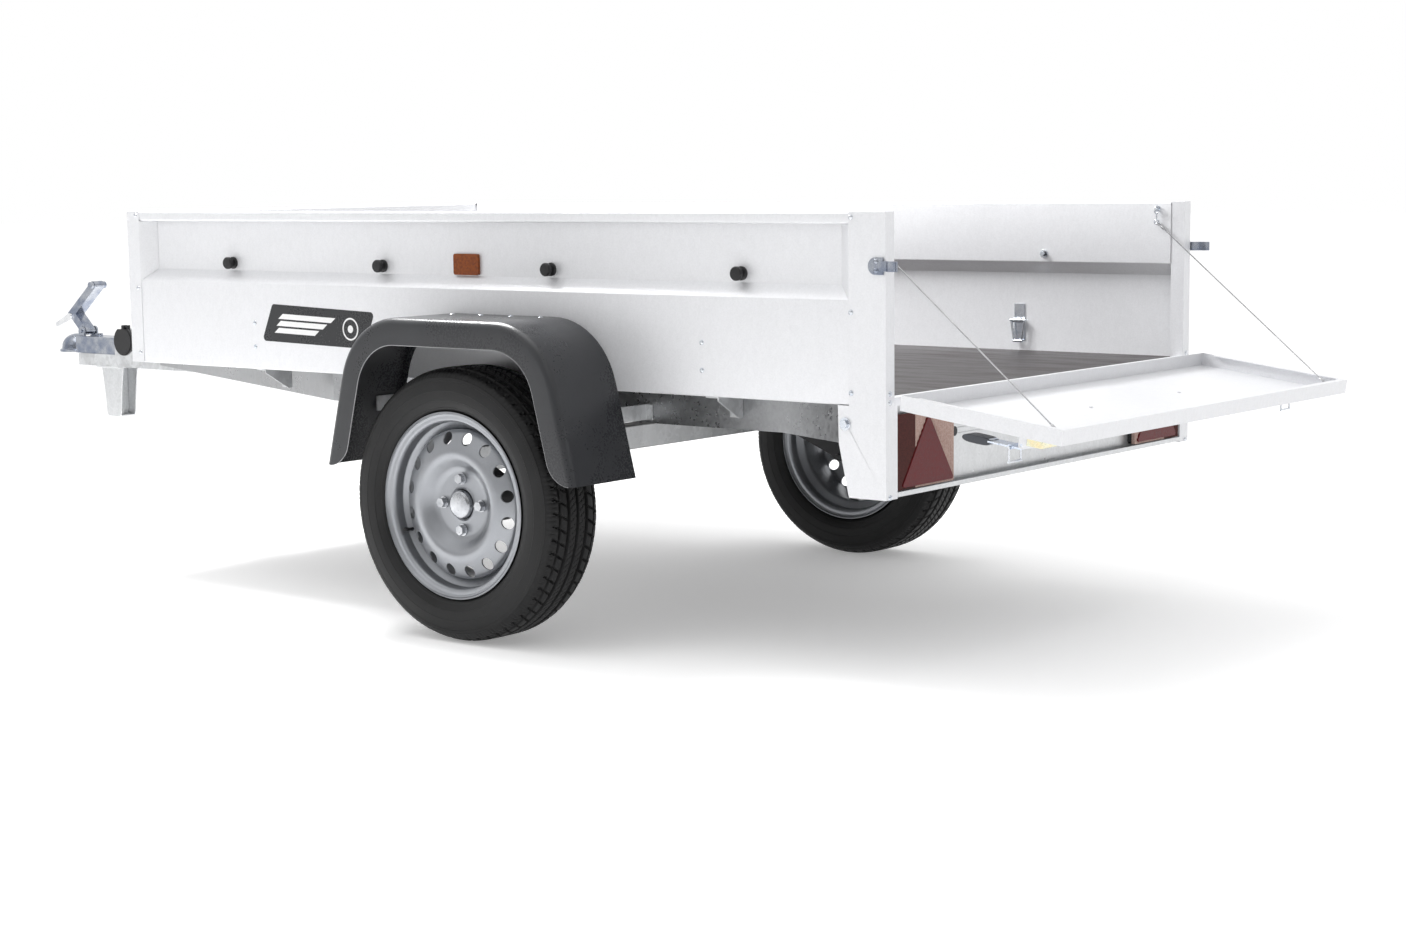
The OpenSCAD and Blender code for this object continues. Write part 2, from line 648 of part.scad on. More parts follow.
// One half of the tyre's section, from the bead toe over the sidewall to the crown
function tyre_outer() = let (w = tyre_w / 2, top = tyre_d / 2, mid = (rim_lip + top) / 2 - 2)
    concat([[rim_seat + 0.3, 40], [rim_seat + 0.3, 53], [168, 56.4], [181, 57.2], [184.8, 62]],
        [for (i = [0 : 8]) let (a = 150 - 15 * i) [mid + (top - 14 - mid) * cos(a), w - 9 + 9 * sin(a)]],
        [[top - 10.5, w - 8.5], [top - 5, w - 14.5], [top - 2.2, w - 22.5], [top - 0.7, w - 34.5],
        [top, w - 54.5], [top, 0]]);
function tyre_inner() = let (w = tyre_w / 2, top = tyre_d / 2)
    [[top - 11, 0], [top - 12, w - 30], [top - 24, w - 13], [222, w - 8], [196, w - 14], [180, 47]];
module tyre_half() {
    difference() {
        polygon(concat(tyre_outer(), tyre_inner()));
        for (y = [-2.5, 21, 44]) translate([tyre_d / 2 - 7, y]) square([10, 5]);
    }
}
module tyre() {
    color("black") about_y(wheel_x, wheel_y, wheel_z) {
        tyre_half();
        mirror([0, 1]) tyre_half();
    }
}
module tyre_left() { tyre(); }
module tyre_right() { right_side() tyre(); }

module wheel_bolts() {
    color("gainsboro") for (a = [0 : 90 : 270]) bolt_place(a) {
        translate([0, 0, hub_face - 14]) cylinder(r = 6, h = 20);
        translate([0, 0, hub_face + 3.4]) cylinder(r = 11.5, h = 2.6);
        translate([0, 0, hub_face + 5]) cylinder(r = 17 / sqrt(3), h = 11, $fn = 6);
    }
}
module wheel_bolts_left() { wheel_bolts(); }
module wheel_bolts_right() { right_side() wheel_bolts(); }

module hub_cap() {
    color("gainsboro") about_y(wheel_x, hub_face, wheel_z) polygon([
        [22, 3.3], [28, 3.3], [28, 10], [26, 14], [21, 16.5], [0, 17.5], [0, 15.5], [20, 14.5],
        [24, 12], [26, 9], [26, 5.3], [22, 5.3]]);
}
module hub_cap_left() { hub_cap(); }
module hub_cap_right() { right_side() hub_cap(); }

// ---- mudguards ----
guard_r = 157;                // radius of the mudguard's corners
guard_lean = 14.6;            // its legs lean outwards by this angle
guard_bottom = 327;
guard_t = 3;
guard_lip = 52;
guard_cz = guard_top - guard_r;
guard_flat = guard_l / 2 - guard_r / cos(guard_lean) - (guard_cz - guard_bottom) * tan(guard_lean);
// Half-length of the mudguard's outline at height z on its legs, drawn inwards by d
function guard_reach(z, d) =
    guard_flat + (guard_r - d) / cos(guard_lean) + (guard_cz - z) * tan(guard_lean);
function guard_path(d) = concat(
    [[wheel_x - guard_reach(guard_bottom, d), guard_bottom]],
    arc([wheel_x - guard_flat, guard_cz], guard_r - d, 180 - guard_lean, 90, 10),
    arc([wheel_x + guard_flat, guard_cz], guard_r - d, 90, guard_lean, 10),
    [[wheel_x + guard_reach(guard_bottom, d), guard_bottom]]);
module guard_band(y0, y1, d0, d1) {
    along_y(y0, y1) polygon(concat(guard_path(d0), reversed(guard_path(d1))));
}
module mudguard() {
    y0 = wy + gap;
    y1 = hw + guard_w;
    color([0.2, 0.2, 0.21]) difference() {
        union() {
            guard_band(y0, y1, 0, guard_t);
            guard_band(y1 - guard_t, y1, 0, guard_lip);
            guard_band(y1 - 6, y1, guard_lip - guard_t, guard_lip);
            guard_band(y0, y0 + guard_t, 0, 14);
        }
        // slots in the inner flange that the stays pass through
        for (s = [-1, 1]) block([strap_x(s) - strap_t / 2 - gap, y0 - 1, strap_z - gap],
            [strap_x(s) + strap_t / 2 + gap, y0 + guard_t + 1, strap_z + strap_w + gap]);
    }
    color("silver") for (dx = [-120, -45, 45, 120])
        pin_z(wheel_x + dx, hw + 22, 6, guard_top - 0.5, guard_top + 1.6);
}
module mudguard_left() { mudguard(); }
module mudguard_right() { right_side() mudguard(); }

// Flat bars from the beams to the mudguards' legs
strap_t = 4;
strap_w = 30;
strap_z = beam_z + 6;
function strap_x(s) =
    wheel_x + s * (guard_reach(strap_z + strap_w, guard_t) - strap_t / 2 - gap);
module mudguard_stays() {
    top = strap_z + strap_w;
    for (s = [-1, 1], x = strap_x(s)) {
        block([x - strap_t / 2, beam_y + gap, strap_z], [x + strap_t / 2, hw + 70, top]);
        block([x - 17, beam_y + gap, strap_z], [x + 17, beam_y + 3, top]);
    }
}

// ---- tailgate, drawn closed about its hinge axis and laid down ----
module gate_place() {
    translate([sx(-hinge_back), 0, hinge_z]) rotate([0, -(90 + gate_droop), 0]) children();
}
gate_half = hw;
module tailgate() {
    color("whitesmoke") gate_place() difference() {
        union() {
            block([gate_out, -gate_half, gate_low], [gate_out + sheet, gate_half, gate_high]);
            block([gate_out, -gate_half, gate_low], [gate_in, gate_half, gate_low + sheet]);
            block([gate_out, -gate_half, gate_high - sheet], [gate_in, gate_half, gate_high]);
            block([gate_in - sheet, -gate_half, gate_high - 12], [gate_in, gate_half, gate_high]);
            for (s = [-1, 1]) {
                block([gate_out, s > 0 ? gate_half - sheet : -gate_half, gate_low],
                    [gate_in, s > 0 ? gate_half : -gate_half + sheet, gate_high]);
                block([gate_in - sheet, s > 0 ? gate_half - 12 : -gate_half, gate_low + 30],
                    [gate_in, s > 0 ? gate_half : -gate_half + 12, gate_high]);
            }
            // hinge eyes beside the fixed ones
            for (y = gate_lug_y, s = [-1, 1], e = [-1, 1]) {
                c = s * y + e * 19;
                pin_y(0, 0, eye_r - 1, c - 6, c + 6);
                block([-3, c - 6, 0], [3, c + 6, gate_low + 1]);
            }
            // latch pivot blocks on the outer face
            for (s = [-1, 1]) block([gate_out - 14, s * latch_y - 19, latch_u - 4],
                [gate_out + 1, s * latch_y + 19, latch_u + 26]);
            for (s = [-1, 1], e = [-1, 1]) latch_ear(s * latch_y + e * 21.5);
        }
        for (y = gate_lug_y, s = [-1, 1])
            pin_y(0, 0, hinge_pin_r + run, s * y - 30, s * y + 30);
        for (s = [-1, 1]) pin_y(lever_p[0], lever_p[1], 3 + run, s * latch_y - 40, s * latch_y + 40);
    }
    color("gray") gate_place() for (s = [-1, 1], p = [[latch_y - 12, latch_u + 16], [latch_y + 12, latch_u + 16],
        [latch_y, latch_u + 4], [latch_y - 92, latch_u - 8], [170, latch_u - 100]])
        translate([gate_out + sheet, s * p[0], p[1]]) rotate([0, 90, 0]) cylinder(r = 4.5, h = 1.8);
}
module latch_ear(y) {
    along_y(y - 2.5, y + 2.5) {
        translate(lever_p) circle(r = 6);
        polygon([[gate_out - 16, latch_u - 20], [gate_out + 0.5, latch_u - 20],
            [gate_out + 0.5, latch_u + 24], [gate_out - 12, latch_u + 24], [gate_out - 21, latch_u - 10]]);
    }
}
module gate_hinge_pins() {
    color("silver") for (y = gate_lug_y, s = [-1, 1]) {
        pin_y(sx(-hinge_back), hinge_z, hinge_pin_r, s * y - 26, s * y + 26);
        pin_y(sx(-hinge_back), hinge_z, 6, s * y - 28.5, s * y - 26);
        pin_y(sx(-hinge_back), hinge_z, 6, s * y + 26, s * y + 28.5);
    }
}
lever_p = [gate_out - 16, latch_u - 14];
lever_eye = [-8, -26];
module latch_lever(s) {
    c = s * latch_y;
    p = lever_p;
    e = p + lever_eye;
    gate_place() color("lightsteelblue") difference() {
        union() {
            along_y(c - 17, c + 17) {
                polygon([p + [-5, 3], p + [-9, -4], p + [-9, -70], p + [-6, -70], p + [-6, -8],
                    p + [4, -8], p + [4, 3]]);
                translate(p) circle(r = 6);
                translate(e) circle(r = 4.5);
            }
            pin_y(p[0], p[1], 3, c - 23, c + 23);
            along_y(c - 13, c + 13) translate([p[0] - 9, p[1] - 92]) rounded_plate(11, 52, 5);
        }
        pin_y(e[0], e[1], bail_r + run, c - 20, c + 20);
    }
}
module latch_lever_left() { latch_lever(1); }
module latch_lever_right() { latch_lever(-1); }

bail_r = 2;
bail_y = 17 + gap + bail_r;
bail_l = 26;
// Closed wire loop that turns in the lever's rolled eye and hangs plumb with the gate open
module latch_bail(s) {
    c = s * latch_y;
    p = lever_p + lever_eye;
    hang = p + bail_l * [-cos(gate_droop), sin(gate_droop)];
    gate_place() color("gainsboro") {
        for (q = [p, hang]) pin_y(q[0], q[1], bail_r, c - bail_y - 1.8, c + bail_y + 1.8);
        for (e = [-1, 1])
            bar([p[0], c + e * bail_y, p[1]], [hang[0], c + e * bail_y, hang[1]], bail_r - 0.2);
    }
}
module latch_bail_left() { latch_bail(1); }
module latch_bail_right() { latch_bail(-1); }

module latch_strikes() {
    color("lightsteelblue") both_sides() {
        along_y(hw, hw + 3) {
            polygon([[sx(4), strike_z - 15], [sx(20), strike_z - 15], [sx(20), strike_z + 15],
                [sx(4), strike_z + 15]]);
            translate([sx(20), strike_z]) circle(r = 15);
        }
        // hook turned out and back behind the post
        along_z(strike_z - 9, strike_z + 9) strip([
            [sx(5), hw + 3], [sx(-6), hw + 3], [sx(-15), hw + 11], [sx(-30), hw + 11],
            [sx(-36), hw + 16]], -3);
        for (z = [-8, 8]) translate([0, 0, strike_z + z]) rivet_y(sx(18), hw + 3, 0);
    }
}

// ---- stays of the tailgate ----
eye_x = sx(60);
eye_z = box_top - 14;
// Ring of round wire lying in a plane square to the axis named
module ring_x(p, r, w) { translate(p) rotate([0, 90, 0]) rotate_extrude() translate([r, 0]) circle(r = w); }
module ring_y(p, r, w) { translate(p) rotate([90, 0, 0]) rotate_extrude() translate([r, 0]) circle(r = w); }
hook_low = [eye_x, eye_z - 28];
module stay_hooks() {
    color("gainsboro") both_sides() {
        // eye screw in the wall
        ring_x([eye_x, wire_y, eye_z], 5, 1.8);
        pin_y(eye_x, eye_z, 5, wy - recess - sheet - 1.2, wy - recess - sheet);
        pin_y(eye_x, eye_z, 2, wire_y + 4, wy - recess - sheet);
        // double hook hanging in it
        ring_y([eye_x, wire_y, eye_z - 5.8], 4.5, 1.6);
        ring_y([eye_x, wire_y, hook_low[1]], 4.5, 1.6);
        bar([eye_x, wire_y, hook_low[1] + 4.5], [eye_x, wire_y, eye_z - 10.3], 1.6);
    }
}
shackle_u = [gate_out + 11.5, gate_high - 21];
shackle_p = [
    sx(-hinge_back) + shackle_u[0] * cos(-90 - gate_droop) + shackle_u[1] * sin(-90 - gate_droop),
    hinge_z - shackle_u[0] * sin(-90 - gate_droop) + shackle_u[1] * cos(-90 - gate_droop)];
module gate_shackles() {
    color("gainsboro") gate_place() for (s = [-1, 1]) {
        y = s * wire_y;
        ring_y([shackle_u[0], y, shackle_u[1]], 7, 2.2);
        block([gate_out + sheet, y - 8, shackle_u[1] - 10], [gate_out + sheet + 3, y + 8, shackle_u[1] + 10]);
    }
}
module stay_wire() {
    pull = unit(hook_low - shackle_p);
    low = shackle_p + 8 * pull;
    high = hook_low - 6.1 * pull;
    tilt = atan2(pull[0], pull[1]);
    color("gray") {
        for (p = [low, high]) translate([p[0], wire_y, p[1]]) rotate([0, tilt, 0])
            ring_x([0, 0, 0], 5, 1.5);
        translate([low[0], wire_y, low[1]]) rotate([0, tilt, 0]) {
            span = norm(high - low);
            translate([0, 0, 5.6]) cylinder(r = 3, h = 12);
            translate([0, 0, span - 17.6]) cylinder(r = 3, h = 12);
            translate([0, 0, 15]) cylinder(r = 1.5, h = span - 30);
        }
    }
}
module stay_wire_left() { stay_wire(); }
module stay_wire_right() { right_side() stay_wire(); }

// ---- small fittings ----
// Tarpaulin knob on a face that looks along +Y, with its nut behind the sheet
module knob() {
    about_y(0, 0, 0) polygon([[0, -7], [3, -7], [3, 0], [13, 0], [13, 3.5], [8, 6], [8, 11],
        [13, 13.5], [13, 19], [11, 21.5], [0, 22]]);
    hex_y(0, 0, 10, -sheet - 5, -sheet);
}
module tarp_knobs() {
    color([0.15, 0.15, 0.16]) both_sides() {
        for (i = [0 : knob_count - 1])
            translate([sx(knob_first + i * knob_pitch), wy - recess, knob_z]) knob();
        translate([sx(box_l) - sheet - recess, front_knob_y, knob_z]) rotate([0, 0, -90]) knob();
    }
}
module reflectors() {
    color("orange") both_sides() translate([sx(axle_back + 121), 0, shelf_z + 48])
        along_y(wy - recess, wy - recess + 6) rounded_plate(68, 42, 5);
    color("white") both_sides() pin_x(hw - 90, deck_z + 110, 30, sx(box_l) - sheet, sx(box_l) + 4.5);
}

ring_wire = 3;
ring_dy = sheet + 9;          // the rings' hinge axis inside the wall's outer plane
module lash_plates() {
    color("gainsboro") both_sides() for (x = lash_x) {
        block([sx(x) - 13, wy - sheet - 2, lash_z - 43], [sx(x) + 13, wy - sheet, lash_z + 36]);
        difference() {
            union() {
                pin_x(wy - ring_dy, lash_z, 5.5, sx(x) - 10, sx(x) + 10);
                block([sx(x) - 10, wy - ring_dy, lash_z - 3], [sx(x) + 10, wy - sheet - 1, lash_z + 3]);
            }
            pin_x(wy - ring_dy, lash_z, ring_wire + run, sx(x) - 12, sx(x) + 12);
        }
    }
}
module lash_ring(x) {
    y = wy - ring_dy;
    color("lightsteelblue") {
        pin_x(y, lash_z, ring_wire, x - 19, x + 19);
        pin_x(y, lash_z - 45, ring_wire, x - 11.5, x + 11.5);
        for (s = [-1, 1])
            bar([x + s * 16.5, y, lash_z], [x + s * 9, y, lash_z - 45], ring_wire - 0.3);
    }
}
module lash_ring_rear_left() { lash_ring(sx(lash_x[0])); }
module lash_ring_rear_right() { right_side() lash_ring(sx(lash_x[0])); }
module lash_ring_front_left() { lash_ring(sx(lash_x[1])); }
module lash_ring_front_right() { right_side() lash_ring(sx(lash_x[1])); }

floor_board();
side_wall_left();
side_wall_right();
front_wall();
front_posts();
rear_post_left();
rear_post_right();
rear_sill();
body_rivets();
chassis_beam_left();
chassis_beam_right();
cross_members();
body_brackets();
lamp_carrier();
drawbar_head();
support_leg();
axle_tube();
axle_brackets();
rubber_cords_left();
rubber_cords_right();
swing_arm_left();
swing_arm_right();
hub_left();
hub_right();
rim_left();
rim_right();
tyre_left();
tyre_right();
wheel_bolts_left();
wheel_bolts_right();
hub_cap_left();
hub_cap_right();
mudguard_left();
mudguard_right();
tailgate();
gate_hinge_pins();
latch_lever_left();
latch_lever_right();
latch_bail_left();
latch_bail_right();
latch_strikes();
stay_wire_left();
stay_wire_right();
stay_hooks();
gate_shackles();
tarp_knobs();
reflectors();
lamp_housings();
lamp_lenses();
coupling_body();
coupling_handle();
ball_clamp();
safety_catch();
socket_body();
socket_lid();
lash_plates();
lash_ring_rear_left();
lash_ring_rear_right();
lash_ring_front_left();
lash_ring_front_right();
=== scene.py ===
"""Single-axle box trailer with drop tailgate: finishes, sheet folds, tyres, lamps, light and camera."""
from __future__ import annotations

import logging
import math
from dataclasses import dataclass
from enum import Enum
from typing import Sequence

import bmesh
import bpy
import numpy as np
from mathutils import Matrix, Vector


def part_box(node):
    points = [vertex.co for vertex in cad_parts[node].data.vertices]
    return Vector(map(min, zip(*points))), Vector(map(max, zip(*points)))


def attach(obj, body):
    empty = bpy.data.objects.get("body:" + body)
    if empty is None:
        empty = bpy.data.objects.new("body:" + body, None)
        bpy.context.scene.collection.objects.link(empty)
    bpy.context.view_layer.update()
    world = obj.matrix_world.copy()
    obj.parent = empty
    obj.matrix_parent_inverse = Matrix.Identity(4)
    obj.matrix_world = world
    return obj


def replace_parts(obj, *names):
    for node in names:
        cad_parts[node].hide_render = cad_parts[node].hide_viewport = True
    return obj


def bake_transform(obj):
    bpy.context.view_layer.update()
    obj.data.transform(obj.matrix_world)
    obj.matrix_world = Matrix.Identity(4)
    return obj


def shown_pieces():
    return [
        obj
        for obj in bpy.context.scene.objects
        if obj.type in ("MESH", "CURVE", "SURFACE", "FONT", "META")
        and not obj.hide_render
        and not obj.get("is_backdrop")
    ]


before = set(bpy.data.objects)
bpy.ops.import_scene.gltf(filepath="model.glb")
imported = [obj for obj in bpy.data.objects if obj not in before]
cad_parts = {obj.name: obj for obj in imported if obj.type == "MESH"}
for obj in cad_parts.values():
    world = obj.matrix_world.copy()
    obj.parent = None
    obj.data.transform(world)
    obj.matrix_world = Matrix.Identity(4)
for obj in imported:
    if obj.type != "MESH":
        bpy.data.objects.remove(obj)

LOG = logging.getLogger("trailer")
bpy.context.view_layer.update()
MM = 0.001
Point = tuple[float, float, float]
Pair = tuple[float, float]

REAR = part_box("rear_post_left")[0].x / MM
HALF_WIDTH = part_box("rear_post_left")[1].y / MM
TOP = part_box("rear_post_left")[1].z / MM
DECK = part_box("side_wall_left")[0].z / MM


GAUGE = 1.5  # thickness of the folded sheet, mm
KNOB_FIRST, KNOB_PITCH, KNOB_UP = 332.0, 464.0, 225.5  # tarpaulin knobs: stations, height over the deck
POST_BOLT = (86.0, 456.0)  # station and Z of the bolt through each rear post


def station(distance: float) -> float:
    """Return the X coordinate, in mm, of a station measured from the rear posts' face."""
    return REAR + distance


# ---------------------------------------------------------------- shader graph


class Value:
    """One output socket that can be used in Python arithmetic."""

    def __init__(self, graph: "Graph", socket: bpy.types.NodeSocket) -> None:
        """Wrap a socket of a graph's node tree."""
        self.graph, self.socket = graph, socket

    def _math(self, operation: str, first: "Value | float", second: "Value | float") -> "Value":
        """Add a Math node and return its output."""
        return self.graph.node("ShaderNodeMath", {"operation": operation}, {0: first, 1: second})

    def __add__(self, other: "Value | float") -> "Value":
        """Return self + other."""
        return self._math("ADD", self, other)

    def __radd__(self, other: float) -> "Value":
        """Return other + self."""
        return self._math("ADD", other, self)

    def __sub__(self, other: "Value | float") -> "Value":
        """Return self - other."""
        return self._math("SUBTRACT", self, other)

    def __rsub__(self, other: float) -> "Value":
        """Return other - self."""
        return self._math("SUBTRACT", other, self)

    def __mul__(self, other: "Value | float") -> "Value":
        """Return self * other."""
        return self._math("MULTIPLY", self, other)

    def __rmul__(self, other: float) -> "Value":
        """Return other * self."""
        return self._math("MULTIPLY", other, self)

    def __gt__(self, other: "Value | float") -> "Value":
        """Return 1 where self is greater than other, else 0."""
        return self._math("GREATER_THAN", self, other)

    def __mod__(self, other: float) -> "Value":
        """Return the remainder of self over other, always positive."""
        return self._math("FLOORED_MODULO", self, other)

    def __abs__(self) -> "Value":
        """Return the absolute value."""
        return self._math("ABSOLUTE", self, 0.0)


class Graph:
    """A node tree of a material or the sky, built with one call per node."""

    def __init__(self, owner: bpy.types.Material | bpy.types.World, shader: str) -> None:
        """Turn the owner's nodes on and find its shader."""
        owner.use_nodes = True
        self.tree = owner.node_tree
        self.shader = self.tree.nodes[shader]

    def node(
        self,
        kind: str,
        settings: dict[str, object] | None = None,
        inputs: dict[int | str, "Value | float | Sequence[float]"] | None = None,
        out: int | str = 0,
    ) -> Value:
        """Add a node.

        Args:
            kind: The node's type.
            settings: Its properties, set first; "stops" fills a colour ramp.
            inputs: Values or links of its sockets, by index or name.
            out: The output to return.

        Returns:
            The output wanted.
        """
        made = self.tree.nodes.new(kind)
        for key, value in (settings or {}).items():
            if key == "stops":
                self._stops(made, value)
            else:
                setattr(made, key, value)
        for key, value in (inputs or {}).items():
            self.feed(made.inputs[key], value)
        return Value(self, made.outputs[out])

    @staticmethod
    def _stops(made: bpy.types.Node, stops: Sequence[tuple[float, Sequence[float]]]) -> None:
        """Set the stops of a colour ramp."""
        ramp = made.color_ramp
        while len(ramp.elements) > 1:
            ramp.elements.remove(ramp.elements[-1])
        for index, (place, colour) in enumerate(stops):
            element = ramp.elements[0] if index == 0 else ramp.elements.new(place)
            element.position, element.color = place, (*colour, 1.0)

    def feed(self, socket: bpy.types.NodeSocket, value: "Value | float | Sequence[float]") -> None:
        """Link or set one input socket."""
        if isinstance(value, Value):
            self.tree.links.new(value.socket, socket)
        elif isinstance(value, (int, float)):
            socket.default_value = value
        else:
            socket.default_value = (*value, 1.0) if len(socket.default_value) == 4 else tuple(value)

    def surface(self, **inputs: "Value | float | Sequence[float]") -> None:
        """Set the shader's sockets; an underscore in a name stands for a space."""
        for key, value in inputs.items():
            self.feed(self.shader.inputs[key.replace("_", " ")], value)

    def place(self) -> Value:
        """Return the point's place in the object's own frame, in metres."""
        return self.node("ShaderNodeTexCoord", out="Object")

    def axis(self, vector: Value, name: str) -> Value:
        """Return one component, X, Y or Z, of a vector."""
        return self.node("ShaderNodeSeparateXYZ", {}, {0: vector}, out=name)

    def stretched(self, vector: Value, scale: Point) -> Value:
        """Return the vector times a scale along each axis."""
        return self.node("ShaderNodeVectorMath", {"operation": "MULTIPLY"}, {0: vector, 1: scale})

    def noise(self, vector: Value, scale: float, detail: float = 2.0) -> Value:
        """Return a noise from 0 to 1."""
        inputs = {"Vector": vector, "Scale": scale, "Detail": detail}
        return self.node("ShaderNodeTexNoise", {}, inputs, out="Fac")

    def cells(self, vector: Value, scale: float) -> Value:
        """Return one random number for each crystal cell."""
        colour = self.node("ShaderNodeTexVoronoi", {}, {"Vector": vector, "Scale": scale}, out="Color")
        return self.node("ShaderNodeSeparateColor", {}, {0: colour}, out="Red")

    def mix(self, share: Value, first: "Value | Sequence[float]", second: "Value | Sequence[float]") -> Value:
        """Return first blended to second by share."""
        return self.node("ShaderNodeMix", {"data_type": "RGBA"}, {0: share, 6: first, 7: second}, out=2)

    def band(self, value: Value, low: float, high: float) -> Value:
        """Return value mapped from low..high to 0..1 and clamped."""
        inputs = {"Value": value, "From Min": low, "From Max": high}
        return self.node("ShaderNodeMapRange", {}, inputs)

    def bump(self, height: Value, strength: float, distance: float) -> Value:
        """Return a normal bent by a height, distance in metres."""
        inputs = {"Height": height, "Strength": strength, "Distance": distance}
        return self.node("ShaderNodeBump", {}, inputs)


class Finish:
    """A material that is made once and shared."""

    name: str

    def paint(self, graph: Graph) -> None:
        """Add this finish's nodes to the graph."""
        raise NotImplementedError

    def material(self) -> bpy.types.Material:
        """Return the material, making it on first use."""
        title = f"{self.name}_finish"
        found = bpy.data.materials.get(title)
        if found is None:
            found = bpy.data.materials.new(title)
            self.paint(Graph(found, "Principled BSDF"))
        return found


def darker(colour: Sequence[float], share: float) -> Point:
    """Return a colour times a share."""
    return tuple(c * share for c in colour)


@dataclass(frozen=True)
class ZincFinish(Finish):
    """Zinc on steel: crystal cells, fine grain, cloudy patches and dull spots."""

    name: str
    colour: Point = (0.80, 0.805, 0.825)
    metallic: float = 0.35
    roughness: float = 0.42
    cell_scale: float = 160.0
    cell_depth: float = 0.06
    grain: float = 0.10
    cloud: float = 0.05
    relief: float = 0.08

    def paint(self, graph: Graph) -> None:
        """Add the crystals, grain and clouds."""
        place = graph.place()
        crystal = graph.cells(place, self.cell_scale)
        turned = graph.cells(graph.stretched(place, (1.0, 1.0, 0.45)), self.cell_scale * 0.37)
        grain = graph.noise(place, 1400.0, 3.0)
        cloud = graph.noise(place, 5.0, 4.0)
        spots = graph.band(graph.noise(place, 90.0, 5.0), 0.66, 0.74)
        tone = (crystal - 0.5) * self.cell_depth * 2 + (turned - 0.5) * self.cell_depth
        tone = tone + (grain - 0.5) * self.grain * 2 + (cloud - 0.5) * self.cloud * 2 + 0.5
        tone = tone - spots * self.cell_depth
        colour = graph.mix(tone, darker(self.colour, 0.72), darker(self.colour, 1.18))
        rough = self.roughness + (crystal - 0.5) * 0.14 + (cloud - 0.5) * 0.12 + spots * 0.1
        normal = graph.bump(crystal + grain * 0.6, self.relief, 0.0006)
        graph.surface(Base_Color=colour, Roughness=rough, Metallic=self.metallic, Normal=normal)


@dataclass(frozen=True)
class PlatedFinish(Finish):
    """Electroplated small parts with drawing marks and a faint tint that wanders."""

    name: str
    colour: Point
    tint: Point
    roughness: float = 0.24

    def paint(self, graph: Graph) -> None:
        """Add the tint, marks and small pits."""
        place = graph.place()
        wander = graph.noise(place, 38.0, 2.0)
        marks = graph.noise(graph.stretched(place, (1.0, 0.15, 1.0)), 900.0, 3.0)
        pits = graph.band(graph.noise(place, 420.0, 2.0), 0.62, 0.7)
        colour = graph.mix(graph.band(wander, 0.35, 0.65), self.colour, self.tint)
        colour = graph.mix(pits * 0.35, colour, darker(self.colour, 0.4))
        rough = self.roughness + (marks - 0.5) * 0.2 + pits * 0.2
        normal = graph.bump(marks - pits, 0.12, 0.0004)
        graph.surface(Base_Color=colour, Roughness=rough, Metallic=1.0, Normal=normal)


@dataclass(frozen=True)
class PlasticFinish(Finish):
    """Moulded plastic with a leather-like grain and slightly rubbed patches."""

    name: str
    colour: Point
    roughness: float = 0.5
    grain_scale: float = 900.0
    relief: float = 0.25
    rubbed: float = 0.25
    specular: float = 0.35

    def paint(self, graph: Graph) -> None:
        """Add the grain and the rubbed patches."""
        place = graph.place()
        grain = graph.node(
            "ShaderNodeTexVoronoi", {"feature": "F1"},
            {"Vector": place, "Scale": self.grain_scale}, out="Distance")
        worn = graph.band(graph.noise(place, 7.0, 5.0), 0.42, 0.72)
        dust = graph.noise(place, 260.0, 4.0)
        colour = graph.mix(worn * self.rubbed + (dust - 0.5) * 0.3, self.colour, darker(self.colour, 1.7))
        rough = self.roughness + (worn - 0.5) * 0.12 + (dust - 0.5) * 0.16
        graph.surface(
            Base_Color=colour, Roughness=rough, Specular_IOR_Level=self.specular,
            Normal=graph.bump(grain, self.relief, 0.0005))


@dataclass(frozen=True)
class RubberFinish(Finish):
    """Tyre rubber: matt, with bloom, fine moulding lines and a little dust low down."""

    name: str
    colour: Point = (0.0065, 0.0065, 0.0068)
    roughness: float = 0.52

    def paint(self, graph: Graph) -> None:
        """Add the bloom, lines and dust."""
        place = graph.place()
        bloom = graph.noise(place, 16.0, 4.0)
        grain = graph.noise(place, 700.0, 3.0)
        colour = graph.mix(graph.band(bloom, 0.35, 0.75), self.colour, darker(self.colour, 2.1))
        rough = self.roughness + (bloom - 0.5) * 0.3 + (grain - 0.5) * 0.15
        graph.surface(
            Base_Color=colour, Roughness=rough, Specular_IOR_Level=0.28,
            Normal=graph.bump(grain, 0.25, 0.0005))


@dataclass(frozen=True)
class LacquerFinish(Finish):
    """Sprayed silver lacquer with metal flake, orange peel and faint runs."""

    name: str
    colour: Point = (0.29, 0.30, 0.32)
    roughness: float = 0.36

    def paint(self, graph: Graph) -> None:
        """Add the flakes and the peel."""
        place = graph.place()
        flake = graph.cells(place, 3200.0)
        peel = graph.noise(place, 320.0, 1.0)
        drift = graph.noise(place, 9.0, 3.0)
        colour = graph.mix(flake * 0.7 + drift * 0.3, darker(self.colour, 0.82), darker(self.colour, 1.2))
        rough = self.roughness + (flake - 0.5) * 0.1 + (drift - 0.5) * 0.14
        graph.surface(
            Base_Color=colour, Roughness=rough, Metallic=0.72, Coat_Weight=0.3, Coat_Roughness=0.15,
            Normal=graph.bump(peel, 0.1, 0.0004))


